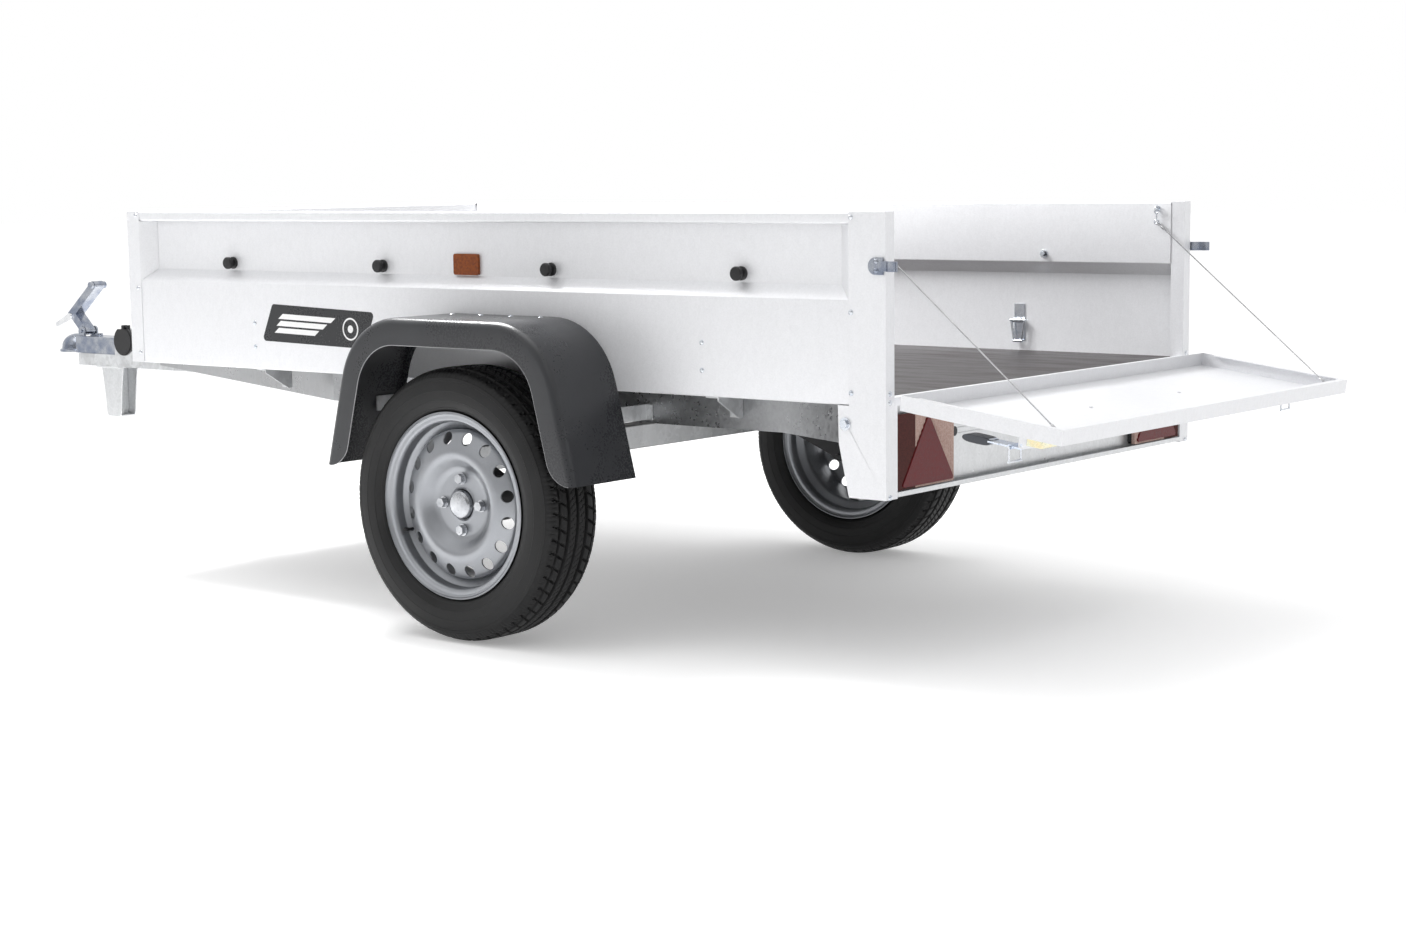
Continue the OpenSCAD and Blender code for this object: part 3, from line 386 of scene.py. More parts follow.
@dataclass(frozen=True)
class BoardFinish(Finish):
    """Film-faced plywood with a pressed mesh on top and veneers at its edges."""

    name: str
    top: Point = (0.029, 0.0245, 0.025)
    veneer: Point = (0.42, 0.29, 0.17)

    def paint(self, graph: Graph) -> None:
        """Add the mesh print, the scuffs and the veneers."""
        place = graph.place()
        across, along = graph.axis(place, "Y"), graph.axis(place, "X")
        mesh = ((abs((across * 250.0) % 1.0 - 0.5) > 0.36) + (abs((along * 250.0) % 1.0 - 0.5) > 0.36)) * 0.5
        scuff = graph.band(graph.noise(graph.stretched(place, (0.5, 2.0, 1.0)), 12.0, 6.0), 0.45, 0.75)
        face = graph.mix(scuff, self.top, darker(self.top, 1.8))
        grain = graph.noise(graph.stretched(place, (6.0, 6.0, 900.0)), 1.0, 3.0)
        edge = graph.mix(grain, darker(self.veneer, 0.55), self.veneer)
        normal_z = graph.axis(graph.node("ShaderNodeNewGeometry", out="Normal"), "Z")
        colour = graph.mix(abs(normal_z) > 0.5, edge, face)
        rough = 0.42 + scuff * 0.22 + mesh * 0.08
        graph.surface(
            Base_Color=colour, Roughness=rough, Specular_IOR_Level=0.3,
            Normal=graph.bump(mesh, 0.3, 0.0004))


@dataclass(frozen=True)
class LensFinish(Finish):
    """Moulded lamp lens with small prisms and a glossy face."""

    name: str
    colour: Point
    deep: Point
    prism: float = 330.0
    roughness: float = 0.2
    coat: float = 0.2

    def paint(self, graph: Graph) -> None:
        """Add the prisms as cells of light and dark under a coat."""
        place = graph.place()
        facet = graph.cells(place, self.prism)
        glow = graph.noise(place, 22.0, 2.0)
        colour = graph.mix(facet * 0.6 + glow * 0.4, self.deep, self.colour)
        graph.surface(
            Base_Color=colour, Roughness=self.roughness + facet * 0.15, Specular_IOR_Level=0.3,
            Coat_Weight=self.coat, Coat_Roughness=0.05, Normal=graph.bump(facet, 0.25, 0.0008))


@dataclass(frozen=True)
class FloorFinish(Finish):
    """Pale studio floor, almost flat with a breath of unevenness."""

    name: str = "studio_floor"

    def paint(self, graph: Graph) -> None:
        """Add the slight variation."""
        cloud = graph.noise(graph.place(), 0.6, 3.0)
        colour = graph.mix(cloud, (0.88, 0.88, 0.88), (0.92, 0.92, 0.92))
        graph.surface(
            Base_Color=colour, Roughness=0.9, Specular_IOR_Level=0.0, Emission_Color=colour,
            Emission_Strength=0.3)


SHEET = ZincFinish("zinc_sheet", cell_scale=420.0, cell_depth=0.05, grain=0.1)
DIPPED = ZincFinish(
    "zinc_dipped", colour=(0.60, 0.61, 0.62), metallic=0.8, roughness=0.42, cell_scale=95.0,
    cell_depth=0.22, grain=0.08, cloud=0.12, relief=0.12)
PRESSED = ZincFinish(
    "zinc_rolled", colour=(0.66, 0.67, 0.68), metallic=0.75, roughness=0.36, cell_scale=210.0,
    cell_depth=0.12, grain=0.1, cloud=0.1)
PLATED = PlatedFinish("plated_bright", (0.72, 0.74, 0.77), (0.60, 0.64, 0.70))
BLUE_PLATED = PlatedFinish("plated_blue", (0.62, 0.70, 0.84), (0.78, 0.80, 0.82))
# Chassis beams: the rolled zinc darkened to about half, painted shade from the box above them
BEAM_SHADED = ZincFinish(
    "zinc_beam_painted_shade", colour=(0.36, 0.365, 0.375), metallic=0.85, roughness=0.34, cell_scale=210.0,
    cell_depth=0.16, grain=0.1, cloud=0.16)
COUPLER_PLATED = PlatedFinish("plated_coupler", (0.23, 0.26, 0.33), (0.40, 0.42, 0.46), 0.24)
# Wheel bolts and hub caps: chrome darkened as a painted reflection of darker surroundings
CHROME_DARK_REFLECTION = PlatedFinish("plated_chrome_dark_reflection", (0.34, 0.35, 0.37), (0.50, 0.51, 0.53), 0.16)
YELLOW_PLATED = PlatedFinish("plated_yellow", (0.78, 0.68, 0.42), (0.70, 0.72, 0.60))
CAP_PLATED = PlatedFinish("plated_cap", (0.70, 0.71, 0.73), (0.82, 0.83, 0.84), 0.14)
WIRE_PLATED = PlatedFinish("plated_wire", (0.45, 0.45, 0.46), (0.62, 0.62, 0.63), 0.35)
GUARD = PlasticFinish("guard_plastic", (0.024, 0.025, 0.028), 0.33, 1300.0, 0.12, specular=0.5)
# Pale line along the mudguards' lip edge: a painted highlight, not a separate part
LIP_HIGHLIGHT = PlasticFinish("guard_lip_highlight", (0.32, 0.32, 0.33), 0.5, 1300.0, 0.1)
BLACK = PlasticFinish("black_plastic", (0.014, 0.014, 0.015), 0.38, 1100.0, 0.1)
GRIP = PlasticFinish("grip_plastic", (0.06, 0.065, 0.075), 0.45, 1200.0, 0.2)
LABEL = PlasticFinish("label_film", (0.028, 0.029, 0.031), 0.3, 2500.0, 0.03, 0.1)
LABEL_PRINT = PlasticFinish("label_print", (0.80, 0.80, 0.80), 0.35, 2500.0, 0.02, 0.05)
RUBBER = RubberFinish("tyre_rubber")
CORD = RubberFinish("cord_rubber", (0.03, 0.03, 0.03))
LACQUER = LacquerFinish("wheel_lacquer")
FORGED = PlasticFinish("forged_black", (0.028, 0.028, 0.03), 0.55, 260.0, 0.4)
BOARD = BoardFinish("film_board")
# Red triangle: deep red, darkened further as painted shade from the dropped gate above the lamps
RED_LENS_SHADED = LensFinish("lens_red_painted_shade", (0.13, 0.003, 0.005), (0.08, 0.001, 0.003), 330.0, 0.3, 0.0)
PALE_LENS = LensFinish("lens_pale", (0.50, 0.37, 0.32), (0.32, 0.19, 0.16), 500.0, 0.3, 0.1)
AMBER_LENS = LensFinish("lens_amber", (0.30, 0.065, 0.001), (0.14, 0.027, 0.001), 260.0, 0.3, 0.0)
BROWN_LENS = LensFinish("lens_brown", (0.10, 0.020, 0.015), (0.05, 0.008, 0.007), 500.0, 0.3, 0.05)
WHITE_LENS = LensFinish("lens_white", (0.85, 0.85, 0.85), (0.62, 0.62, 0.64))


# ---------------------------------------------------------------- mesh building


def circle(radius: float, sides: int) -> list[Pair]:
    """Return points evenly round a circle."""
    angles = [2 * math.pi * k / sides for k in range(sides)]
    return [(radius * math.cos(a), radius * math.sin(a)) for a in angles]


class Shell:
    """Vertices, in mm, and faces of one piece while it is being built."""

    def __init__(self) -> None:
        """Start empty."""
        self.points: list[Point] = []
        self.faces: list[tuple[int, ...]] = []

    def loft(
        self, rings: Sequence[Sequence[Point]], closed_path: bool = False, caps: bool = False,
    ) -> "Shell":
        """Join equal rings of points with quads.

        Args:
            rings: The rings, in order along the path.
            closed_path: Whether the last ring joins the first.
            caps: Whether the end rings are filled.

        Returns:
            This shell.
        """
        base, count, size = len(self.points), len(rings), len(rings[0])
        for ring in rings:
            self.points.extend(tuple(map(float, point)) for point in ring)
        for i in range(count if closed_path else count - 1):
            j = (i + 1) % count
            for k in range(size):
                n = (k + 1) % size
                quad = (i * size + k, j * size + k, j * size + n, i * size + n)
                self.faces.append(tuple(base + v for v in quad))
        if caps:
            self.faces.append(tuple(base + v for v in range(size)))
            self.faces.append(tuple(base + (count - 1) * size + v for v in reversed(range(size))))
        return self

    def tube(self, path: Sequence[Point], radius: float, sides: int = 12, caps: bool = True) -> "Shell":
        """Add a round bar that follows a path."""
        line = [Vector(p) for p in path]
        rings = []
        side = None
        for i, point in enumerate(line):
            ahead = (line[min(i + 1, len(line) - 1)] - line[max(i - 1, 0)]).normalized()
            if side is None:
                helper = Vector((0, 0, 1)) if abs(ahead.z) < 0.9 else Vector((0, 1, 0))
                side = ahead.cross(helper).normalized()
            side = (side - ahead * side.dot(ahead)).normalized()
            up = ahead.cross(side)
            rings.append([point + side * u + up * v for u, v in circle(radius, sides)])
        return self.loft(rings, caps=caps)

    def ring(self, centre: Point, across: Point, radius: float, wire: float) -> "Shell":
        """Add a closed wire ring whose plane is square to the direction across."""
        turn = Vector(across).to_track_quat("Z", "Y")
        lift = turn @ Vector((0, 0, 1))
        rings = []
        for x, y in circle(1.0, 28):
            out = turn @ Vector((x, y, 0))
            middle = Vector(centre) + out * radius
            rings.append([middle + out * u + lift * v for u, v in circle(wire, 10)])
        return self.loft(rings, closed_path=True)


def fillet(points: Sequence[Pair], radius: float, steps: int = 4) -> list[Pair]:
    """Round the inner corners of an open line.

    Args:
        points: The line's corners.
        radius: The bend's radius, cut down where a leg is short.
        steps: Straight pieces in each bend.

    Returns:
        The rounded line.
    """
    made = [tuple(points[0])]
    for before, corner, after in zip(points, points[1:], points[2:]):
        a, b, c = Vector(before), Vector(corner), Vector(after)
        u, v = (a - b).normalized(), (c - b).normalized()
        half = math.acos(max(-1.0, min(1.0, u.dot(v)))) / 2
        cut = min(radius / math.tan(half), (a - b).length * 0.45, (c - b).length * 0.45)
        r = cut * math.tan(half)
        middle = b + (u + v).normalized() * (r / math.sin(half))
        start, end = b + u * cut - middle, b + v * cut - middle
        for k in range(steps + 1):
            spot = start.lerp(end, k / steps).normalized() * r + middle
            made.append((spot.x, spot.y))
    made.append(tuple(points[-1]))
    return made


def offset(line: Sequence[Pair], depth: float) -> list[Pair]:
    """Return an open line moved to its left by depth, with mitred corners."""
    legs = [(Vector(b) - Vector(a)).normalized() for a, b in zip(line, line[1:])]
    made = []
    for i, point in enumerate(line):
        a, b = legs[max(i - 1, 0)], legs[min(i, len(legs) - 1)]
        normal = Vector((-a.y, a.x)) + Vector((-b.y, b.x))
        normal = normal * (2 / normal.length_squared)
        made.append((point[0] + normal.x * depth, point[1] + normal.y * depth))
    return made


def smooth_line(points: Sequence[Pair], steps: int = 4) -> list[Pair]:
    """Return a Catmull-Rom line through the points."""
    made = []
    line = [points[0], *points, points[-1]]
    for a, b, c, d in zip(line, line[1:], line[2:], line[3:]):
        for k in range(steps):
            t = k / steps
            made.append(tuple(
                0.5 * (2 * b[i] + (c[i] - a[i]) * t + (2 * a[i] - 5 * b[i] + 4 * c[i] - d[i]) * t * t
                       + (3 * b[i] - a[i] - 3 * c[i] + d[i]) * t ** 3)
                for i in range(2)))
    made.append(tuple(points[-1]))
    return made


def dress(
    made: bpy.types.Object, body: str, finish: Finish, crease: float = 35.0,
    rounding: float = 0.0,
) -> bpy.types.Object:
    """Smooth, round, paint and hang one finished mesh on its body.

    Args:
        made: The object, in the row frame.
        body: The CAD body it rides on.
        finish: Its finish.
        crease: Angle in degrees above which an edge stays sharp.
        rounding: Width in mm of the rounding of sharp edges, or 0.

    Returns:
        The object.
    """
    mesh = made.data
    mesh.materials.clear()
    mesh.materials.append(finish.material())
    mesh.polygons.foreach_set("use_smooth", [True] * len(mesh.polygons))
    mesh.set_sharp_from_angle(angle=math.radians(crease))
    if rounding:
        bevel = made.modifiers.new("rounding", "BEVEL")
        bevel.width, bevel.segments, bevel.limit_method = rounding * MM, 2, "ANGLE"
        bevel.angle_limit = math.radians(crease)
        weighted = made.modifiers.new("flat_faces", "WEIGHTED_NORMAL")
        weighted.keep_sharp = True
    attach(made, body)
    return made


def piece(
    name: str, shell: Shell, body: str, finish: Finish, crease: float = 35.0,
    rounding: float = 0.0, mirrored: bool = False,
) -> bpy.types.Object:
    """Turn a shell into a finished object; see dress() for the arguments they share.

    Args:
        name: The piece's name.
        shell: Its points and faces.
        body: The CAD body it rides on.
        finish: Its finish.
        crease: Angle above which an edge stays sharp.
        rounding: Width in mm of the edges' rounding.
        mirrored: Whether it is flipped to the trailer's right side.

    Returns:
        The object.
    """
    mesh = bpy.data.meshes.new(name)
    side = -1.0 if mirrored else 1.0
    points = [(x * MM, y * MM * side, z * MM) for x, y, z in shell.points]
    mesh.from_pydata(points, [], shell.faces)
    tidy = bmesh.new()
    tidy.from_mesh(mesh)
    bmesh.ops.recalc_face_normals(tidy, faces=tidy.faces)
    tidy.to_mesh(mesh)
    tidy.free()
    made = bpy.data.objects.new(name, mesh)
    bpy.context.scene.collection.objects.link(made)
    return dress(made, body, finish, crease, rounding)


def softened(name: str, body: str, finish: Finish, rounding: float) -> bpy.types.Object:
    """Replace a CAD node by a copy of the same shape whose edges are rounded.

    Args:
        name: The node; the copy is called name_formed.
        body: The CAD body it rides on.
        finish: Its finish.
        rounding: Width in mm of the rounding.

    Returns:
        The copy.
    """
    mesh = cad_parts[name].data.copy()
    clean = bmesh.new()
    clean.from_mesh(mesh)
    bmesh.ops.remove_doubles(clean, verts=clean.verts, dist=0.00002)
    bmesh.ops.dissolve_limit(
        clean, angle_limit=math.radians(0.5), verts=clean.verts, edges=clean.edges)
    bmesh.ops.triangulate(clean, faces=clean.faces)
    clean.to_mesh(mesh)
    clean.free()
    made = bpy.data.objects.new(f"{name}_formed", mesh)
    bpy.context.scene.collection.objects.link(made)
    dress(made, body, finish, 38.0, rounding)
    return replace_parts(made, name)


def side_name(mirrored: bool) -> str:
    """Return "right" or "left"."""
    return "right" if mirrored else "left"


SIDES = (False, True)


# ---------------------------------------------------------------- sub-assemblies


@dataclass
class LoadBox:
    """Folded walls, posts, floor and sill."""

    sheet: float = GAUGE
    fold: float = 3.0
    shelf: float = 184.0
    recess: float = 25.0
    rim: float = 20.0
    wall_end: float = 30.5
    length: float = 2050.0

    def section(self, plane: float, foot: float) -> list[Pair]:
        """Return the walls' folded line as (outward, Z), from foot to rolled rim."""
        top = TOP - self.sheet
        shelf = DECK + self.shelf
        inner = plane - self.recess
        return [
            (plane - foot, DECK), (plane, DECK), (plane, shelf), (inner, shelf + self.recess),
            (inner, top), (plane - self.sheet, top), (plane - self.sheet, TOP - self.rim),
            (plane - 16, TOP - self.rim)]

    def wall_shell(self, plane: float, foot: float, ends: Pair, front: bool) -> Shell:
        """Return a wall drawn out between its ends."""
        line = fillet(self.section(plane, foot), self.fold)
        loop = line + offset(line, self.sheet)[::-1]
        stops = np.linspace(ends[0], ends[1], 9)
        if front:
            rings = [[(out, s, z) for out, z in loop] for s in stops]
        else:
            rings = [[(s, out, z) for out, z in loop] for s in stops]
        return Shell().loft(rings, caps=True)

    def build(self) -> None:
        """Build the walls and dress the CAD sheet parts."""
        plane = HALF_WIDTH - self.sheet
        ends = (station(self.wall_end), station(self.length - self.wall_end))
        for mirrored in SIDES:
            name = f"side_wall_{side_name(mirrored)}"
            shell = self.wall_shell(plane, 40, ends, False)
            made = piece(f"{name}_folded", shell, "chassis", SHEET, mirrored=mirrored)
            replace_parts(made, name)
        reach = HALF_WIDTH - self.wall_end
        shell = self.wall_shell(station(self.length) - self.sheet, 25, (-reach, reach), True)
        made = piece("front_wall_folded", shell, "chassis", SHEET)
        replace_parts(made, "front_wall")
        for node in ("front_posts", "rear_post_left", "rear_post_right", "rear_sill", "lamp_carrier"):
            finish = PRESSED if node == "lamp_carrier" else SHEET
            softened(node, "chassis", finish, 0.6)
        paint_nodes({"floor_board": BOARD, "body_rivets": PLATED})
        for mirrored in SIDES:
            self.bolts(mirrored)

    def bolts(self, mirrored: bool) -> None:
        """Add the tarpaulin knobs' bright nuts inside the wall and the bolt through each rear post."""
        shell = Shell()
        inner = HALF_WIDTH - 2 * self.sheet - self.recess
        for i in range(4):
            x = station(KNOB_FIRST + KNOB_PITCH * i)
            self.head(shell, (x, inner, DECK + KNOB_UP), 9.2, -2.2, 24)
            self.head(shell, (x, inner - 5.0, DECK + KNOB_UP), 5.6, -5.6, 6)
        x, z = station(POST_BOLT[0]), POST_BOLT[1]
        self.head(shell, (x, HALF_WIDTH, z), 11.5, 2.0, 24)
        self.head(shell, (x, HALF_WIDTH + 2.0, z), 8.0, 5.2, 6)
        piece(f"wall_bolts_{side_name(mirrored)}", shell, "chassis", PLATED, 30.0, 0.4,
              mirrored)

    def head(self, shell: Shell, seat: Point, reach: float, tall: float, sides: int) -> None:
        """Add a nut, bolt head or washer.

        Args:
            shell: What it is added to.
            seat: The middle of its seat.
            reach: Its radius over the corners.
            tall: Its height along +Y, or along -Y where negative.
            sides: Number of its sides.
        """
        x, y, z = seat
        rings = [[(x + u, y + up, z + v) for u, v in circle(reach, sides)]
                 for up in (math.copysign(0.02, tall), tall)]
        shell.loft(rings, caps=True)


def paint_nodes(table: dict[str, Finish]) -> None:
    """Give CAD nodes their finish."""
    for node, finish in table.items():
        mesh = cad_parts[node].data
        mesh.materials.clear()
        mesh.materials.append(finish.material())


@dataclass
class Chassis:
    """Beams, cross members, axle, drawbar head and leg."""

    def build(self) -> None:
        """Dress the frame's parts."""
        # The beams take the darkened zinc: painted shade under the box
        for node in ("chassis_beam_left", "chassis_beam_right"):
            softened(node, "chassis", BEAM_SHADED, 0.8)
        for node in ("cross_members", "body_brackets", "drawbar_head", "axle_brackets"):
            softened(node, "chassis", DIPPED, 0.7)
        self.leg()
        softened("axle_tube", "chassis", DIPPED, 2.5)
        paint_nodes({"rubber_cords_left": CORD, "rubber_cords_right": CORD})
        self.welds()

    def leg(self) -> None:
        """Build the support leg as a folded channel whose cheeks taper towards the foot."""
        low, high = (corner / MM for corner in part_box("support_leg"))
        middle = (low.x + high.x) / 2
        half, thick, plate = 25.0, 3.0, 4.0
        levels = [
            (high.z, 45.0), (high.z - plate, 44.2), (high.z - 30, 39.5), (low.z + 34, 30.8),
            (low.z + 10, 29.4), (low.z, half)]
        face = [(middle + reach, z) for z, reach in levels]
        face += [(middle - reach, z) for z, reach in reversed(levels)]
        shell = Shell()
        for side in (-1, 1):
            rings = [[(x, side * y, z) for x, z in face] for y in (half - thick, half)]
            shell.loft(rings, caps=True)
        for x0, x1, y0, z0, z1 in (
                (middle - thick, middle, half - thick, low.z, high.z),
                (middle - half, middle + half, half - thick, low.z, low.z + plate),
                (low.x, high.x, high.y, high.z - plate, high.z)):
            rings = [[(x, y, z) for x, y in ((x0, -y0), (x1, -y0), (x1, y0), (x0, y0))] for z in (z0, z1)]
            shell.loft(rings, caps=True)
        made = piece("support_leg_folded", shell, "chassis", PRESSED, 35.0, 0.9)
        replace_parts(made, "support_leg")

    def welds(self) -> None:
        """Add the weld beads where the beams meet the drawbar head and the leg meets the head."""
        low, high = (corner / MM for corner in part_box("drawbar_head"))
        leg_low, leg_high = (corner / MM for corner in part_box("support_leg"))
        shell = Shell()
        half = 42.0
        runs = [
            [(low.x + 30 + 9 * i, s * (half + 0.6), low.z + 61.2) for i in range(11)] for s in (-1, 1)]
        runs += [
            [(leg_low.x + 9 * i, s * (half - 1.2), leg_high.z + 0.6) for i in range(11)] for s in (-1, 1)]
        for run in runs:
            shell.tube([(x, y, z + 0.5 * (-1) ** i) for i, (x, y, z) in enumerate(run)], 2.2, 8)
        piece("drawbar_welds", shell, "chassis", DIPPED)


@dataclass
class Mudguards:
    """Rounded plastic arches over the wheels."""

    top: float = 625.0
    bottom: float = 327.0
    length: float = 660.0
    corner: float = 157.0
    lean: float = math.radians(14.6)
    wall: float = 3.0
    lip: float = 52.0
    edge: float = 15.0
    foot_round: float = 40.0

    def stations(self) -> list[tuple[float, float, float]]:
        """Return (mode, value, lip depth) along one half of the arch, from its foot to the middle."""
        centre = self.top - self.corner
        tangent = centre + self.corner * math.sin(self.lean)
        made = []
        for rise in (0, 1, 3, 6, 10, 15, 21, 28, 36, 46, 70, 100, 130, 155):
            height = self.bottom + rise
            if height < tangent - 5:
                inside = max(self.foot_round - rise, 0.0)
                cut = self.foot_round - math.sqrt(self.foot_round ** 2 - inside ** 2)
                made.append((0.0, height, self.lip - cut))
        steps = 12
        for k in range(steps + 1):
            angle = self.lean + (math.pi / 2 - self.lean) * k / steps
            made.append((1.0, angle, self.lip))
        return made

    def spot(self, mode: float, value: float, depth: float) -> Pair:
        """Return (distance from the arch's middle, Z) of the outline drawn inwards by depth."""
        centre = self.top - self.corner
        flat = (self.length / 2 - self.corner / math.cos(self.lean)
                - (centre - self.bottom) * math.tan(self.lean))
        radius = self.corner - depth
        if mode == 0.0:
            reach = flat + radius / math.cos(self.lean) + (centre - value) * math.tan(self.lean)
            return reach, value
        return flat + radius * math.cos(value), centre + radius * math.sin(value)

    def profile(self, inner: float, outer: float, lip: float) -> list[Pair]:
        """Return the closed section as (depth, Y) for one lip depth."""
        edge, wall = self.edge, self.wall
        line = [(14.0, inner + wall), (wall, inner + wall), (wall, outer - edge)]
        skin = [(14.0, inner), (0.0, inner), (0.0, outer - edge)]
        for k in range(1, 7):
            a = math.pi / 2 * k / 6
            skin.append((edge - edge * math.cos(a), outer - edge + edge * math.sin(a)))
            small = edge - wall
            line.append((edge - small * math.cos(a), outer - edge + small * math.sin(a)))
        for share in (0.5, 0.85, 1.0):
            depth = edge + 1 + (lip - edge - 1) * share
            skin.append((depth, outer))
            line.append((depth, outer - wall))
        skin.append((lip + 0.8, outer - wall / 2))
        return skin + line[::-1]

    def build(self) -> None:
        """Build both mudguards and a pale line along the edge of their lips, a painted highlight."""
        for mirrored in SIDES:
            name = f"mudguard_{side_name(mirrored)}"
            low, high = (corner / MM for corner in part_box("mudguard_left"))
            middle = (low.x + high.x) / 2
            half = self.stations()
            path = [(-1.0, *s) for s in half] + [(1.0, *s) for s in reversed(half)]
            shell, painted_lip_highlight = Shell(), []
            rings = []
            for sign, mode, value, lip in path:
                ring = []
                for depth, y in self.profile(low.y, high.y, lip):
                    reach, z = self.spot(mode, value, depth)
                    ring.append((middle + sign * reach, y, z))
                rings.append(ring)
                # A pale tube along the lip's lower edge stands in for the light on that edge: painted
                # highlight
                reach, z = self.spot(mode, value, lip + 0.6)
                painted_lip_highlight.append((middle + sign * reach, high.y - 1.0, z))
            shell.loft(rings, caps=True)
            made = piece(f"{name}_moulded", shell, "chassis", GUARD, 50.0, mirrored=mirrored)
            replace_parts(made, name)
            piece(f"{name}_trim", Shell().tube(painted_lip_highlight, 0.9, 8), "chassis", LIP_HIGHLIGHT,
                  mirrored=mirrored)
            self.rivets(f"{name}_rivets", middle, mirrored)

    def rivets(self, name: str, middle: float, mirrored: bool) -> None:
        """Add the domed rivets on the flat top."""
        shell = Shell()
        for x in (-118, -40, 40, 118):
            dome = [(2.2, 1.6), (4.4, 0.9), (5.6, 0.0), (5.6, -0.6)]
            rings = [[(middle + x + u, HALF_WIDTH + 24 + v, self.top + z) for u, v in circle(r, 16)]
                     for r, z in dome]
            shell.loft(rings, caps=True)
        piece(name, shell, "chassis", PLATED, mirrored=mirrored)


@dataclass
class Wheels:
    """Tyres with cut tread, pressed rims with vents, and their centre parts."""

    radius: float = 266.5
    seat: float = 165.1
    tread_half: float = 56.0
    vent_circle: float = 130.5
    vent_radius: float = 12.0
    vent_count: int = 16
    around: int = 720
    across: int = 57

    def centre(self) -> Point:
        """Return the left wheel's middle."""
        low, high = (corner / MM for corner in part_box("tyre_left"))
        return ((low.x + high.x) / 2, (low.y + high.y) / 2, (low.z + high.z) / 2)

    def groove_depth(self, angle: np.ndarray, y: np.ndarray) -> np.ndarray:
        """Return the tread's cut, in mm, at an angle round the tyre and a place across it."""
        arc = angle * self.radius
        off = np.abs(y)
        depth = np.zeros_like(arc)
        for middle, half in ((0.0, 2.6), (25.0, 3.4), (46.5, 1.6)):
            depth = np.maximum(depth, 6.0 * (np.abs(off - middle) < half))
        slant = arc + np.where(y > 0, 0.55, -0.55) * off * 1.0
        block = np.abs((slant / 26.16) % 1.0 - 0.5)
        depth = np.maximum(depth, 4.6 * ((block > 0.44) & (off > 28.5) & (off < 60)))
        fine = np.abs(((arc - np.sign(y) * off * 0.8) / 13.08) % 1.0 - 0.5)
        depth = np.maximum(depth, 2.6 * ((fine > 0.45) & (off > 5.5) & (off < 21)))
        rib = np.abs(((arc + off * 0.3) / 8.72) % 1.0 - 0.5)
        return np.maximum(depth, 1.4 * ((rib > 0.42) & (off > 50)))

    def crown(self, y: np.ndarray) -> np.ndarray:
        """Return the uncut tread's radius across the tyre."""
        off = np.abs(y) / self.tread_half
        return self.radius - 0.4 * off ** 2 - 6.0 * off ** 7

    def tyre(self, mirrored: bool) -> None:
        """Build one tyre: tread surface, shoulders, sidewalls with moulded rings, and beads."""
        cx, cy, cz = self.centre()
        angles = np.linspace(0, 2 * math.pi, self.around, endpoint=False)
        ys = np.linspace(-self.tread_half, self.tread_half, self.across)
        a, y = np.meshgrid(angles, ys)
        r = self.crown(y) - self.groove_depth(a, y)
        rows: list[tuple[np.ndarray, np.ndarray]] = [(r[i], y[i]) for i in range(self.across)]
        wall = [
            (258.2, 61.5), (254.5, 65.8), (250.0, 69.0), (248.6, 69.9), (248.2, 70.9), (245.0, 71.7),
            (241.8, 72.3), (241.4, 71.9), (232.0, 73.6), (222.5, 74.2), (221.9, 73.7), (212.0, 73.4),
            (204.0, 72.2), (203.4, 71.4), (196.0, 69.4), (190.6, 66.8), (189.9, 66.9), (186.4, 64.9),
            (184.6, 62.4), (181.5, 57.6), (176.0, 55.8), (168.0, 55.4), (165.6, 53.0), (165.6, 40.0),
            (180.0, 46.0)]
        ones = np.ones_like(angles)
        notch = 0.5 * (np.abs((angles * self.radius / 8.72) % 1.0 - 0.5) > 0.42)
        right = [(ones * rr - (notch * 2.0 if rr > 249 else 0), ones * yy) for rr, yy in wall]
        left = [(row[0], -row[1]) for row in reversed(right)]
        rows = left + rows + right
        rings = [
            np.stack([cx + rr * np.cos(angles), cy + yy, cz + rr * np.sin(angles)], 1)
            for rr, yy in rows]
        name = f"tyre_{side_name(mirrored)}"
        shell = Shell()
        shell.loft([list(map(tuple, ring)) for ring in rings], closed_path=True)
        made = piece(f"{name}_treaded", shell, f"wheel_{side_name(mirrored)}", RUBBER, 30.0,
                     mirrored=mirrored)
        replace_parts(made, name)

    def lathe(self, line: Sequence[Pair], thick: float, sides: int = 128) -> Shell:
        """Turn a line of (radius, Y) with thickness about the left wheel's axis."""
        cx, cy, cz = self.centre()
        loop = list(line) + offset(line, thick)[::-1]
        rings = []
        for k in range(sides):
            a = 2 * math.pi * k / sides
            rings.append([(cx + r * math.cos(a), cy + y, cz + r * math.sin(a)) for r, y in loop])
        return Shell().loft(rings, closed_path=True)

    def rim(self, mirrored: bool) -> None:
        """Build one rim: rolled barrel and pressed disc with its vents cut out."""
        body = f"wheel_{side_name(mirrored)}"
        barrel = fillet([
            (181.8, -65.2), (179.6, -60.6), (174.2, -57.4), (167.1, -57.0), (165.1, -53.5), (165.1, -37),
            (146, -28), (146, 20), (165.1, 34), (165.1, 53.5), (167.1, 57.0), (174.2, 57.4),
            (179.6, 60.6), (181.8, 65.2)], 7.0, 5)
        made = piece(f"rim_{side_name(mirrored)}_barrel", self.lathe(barrel, 3.0), body, LACQUER,
                     50.0, mirrored=mirrored)
        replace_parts(made, f"rim_{side_name(mirrored)}")
        disc = smooth_line([
            (29, 33.4), (31.5, 31.2), (36, 30.3), (58, 30.3), (66, 31.2), (74, 34.6), (82, 41.5),
            (90, 48.2), (96, 51.0), (102, 51.5), (109, 50.2), (118, 47.0), (130, 42.2), (138, 38.4),
            (141.6, 35.0), (142.8, 30), (142.8, 14)], 4)
        plate = piece(f"rim_{side_name(mirrored)}_disc", self.lathe(disc, 3.0), body, LACQUER,
                      50.0, mirrored=mirrored)
        self.cut_vents(plate, mirrored)
        self.valve(mirrored)

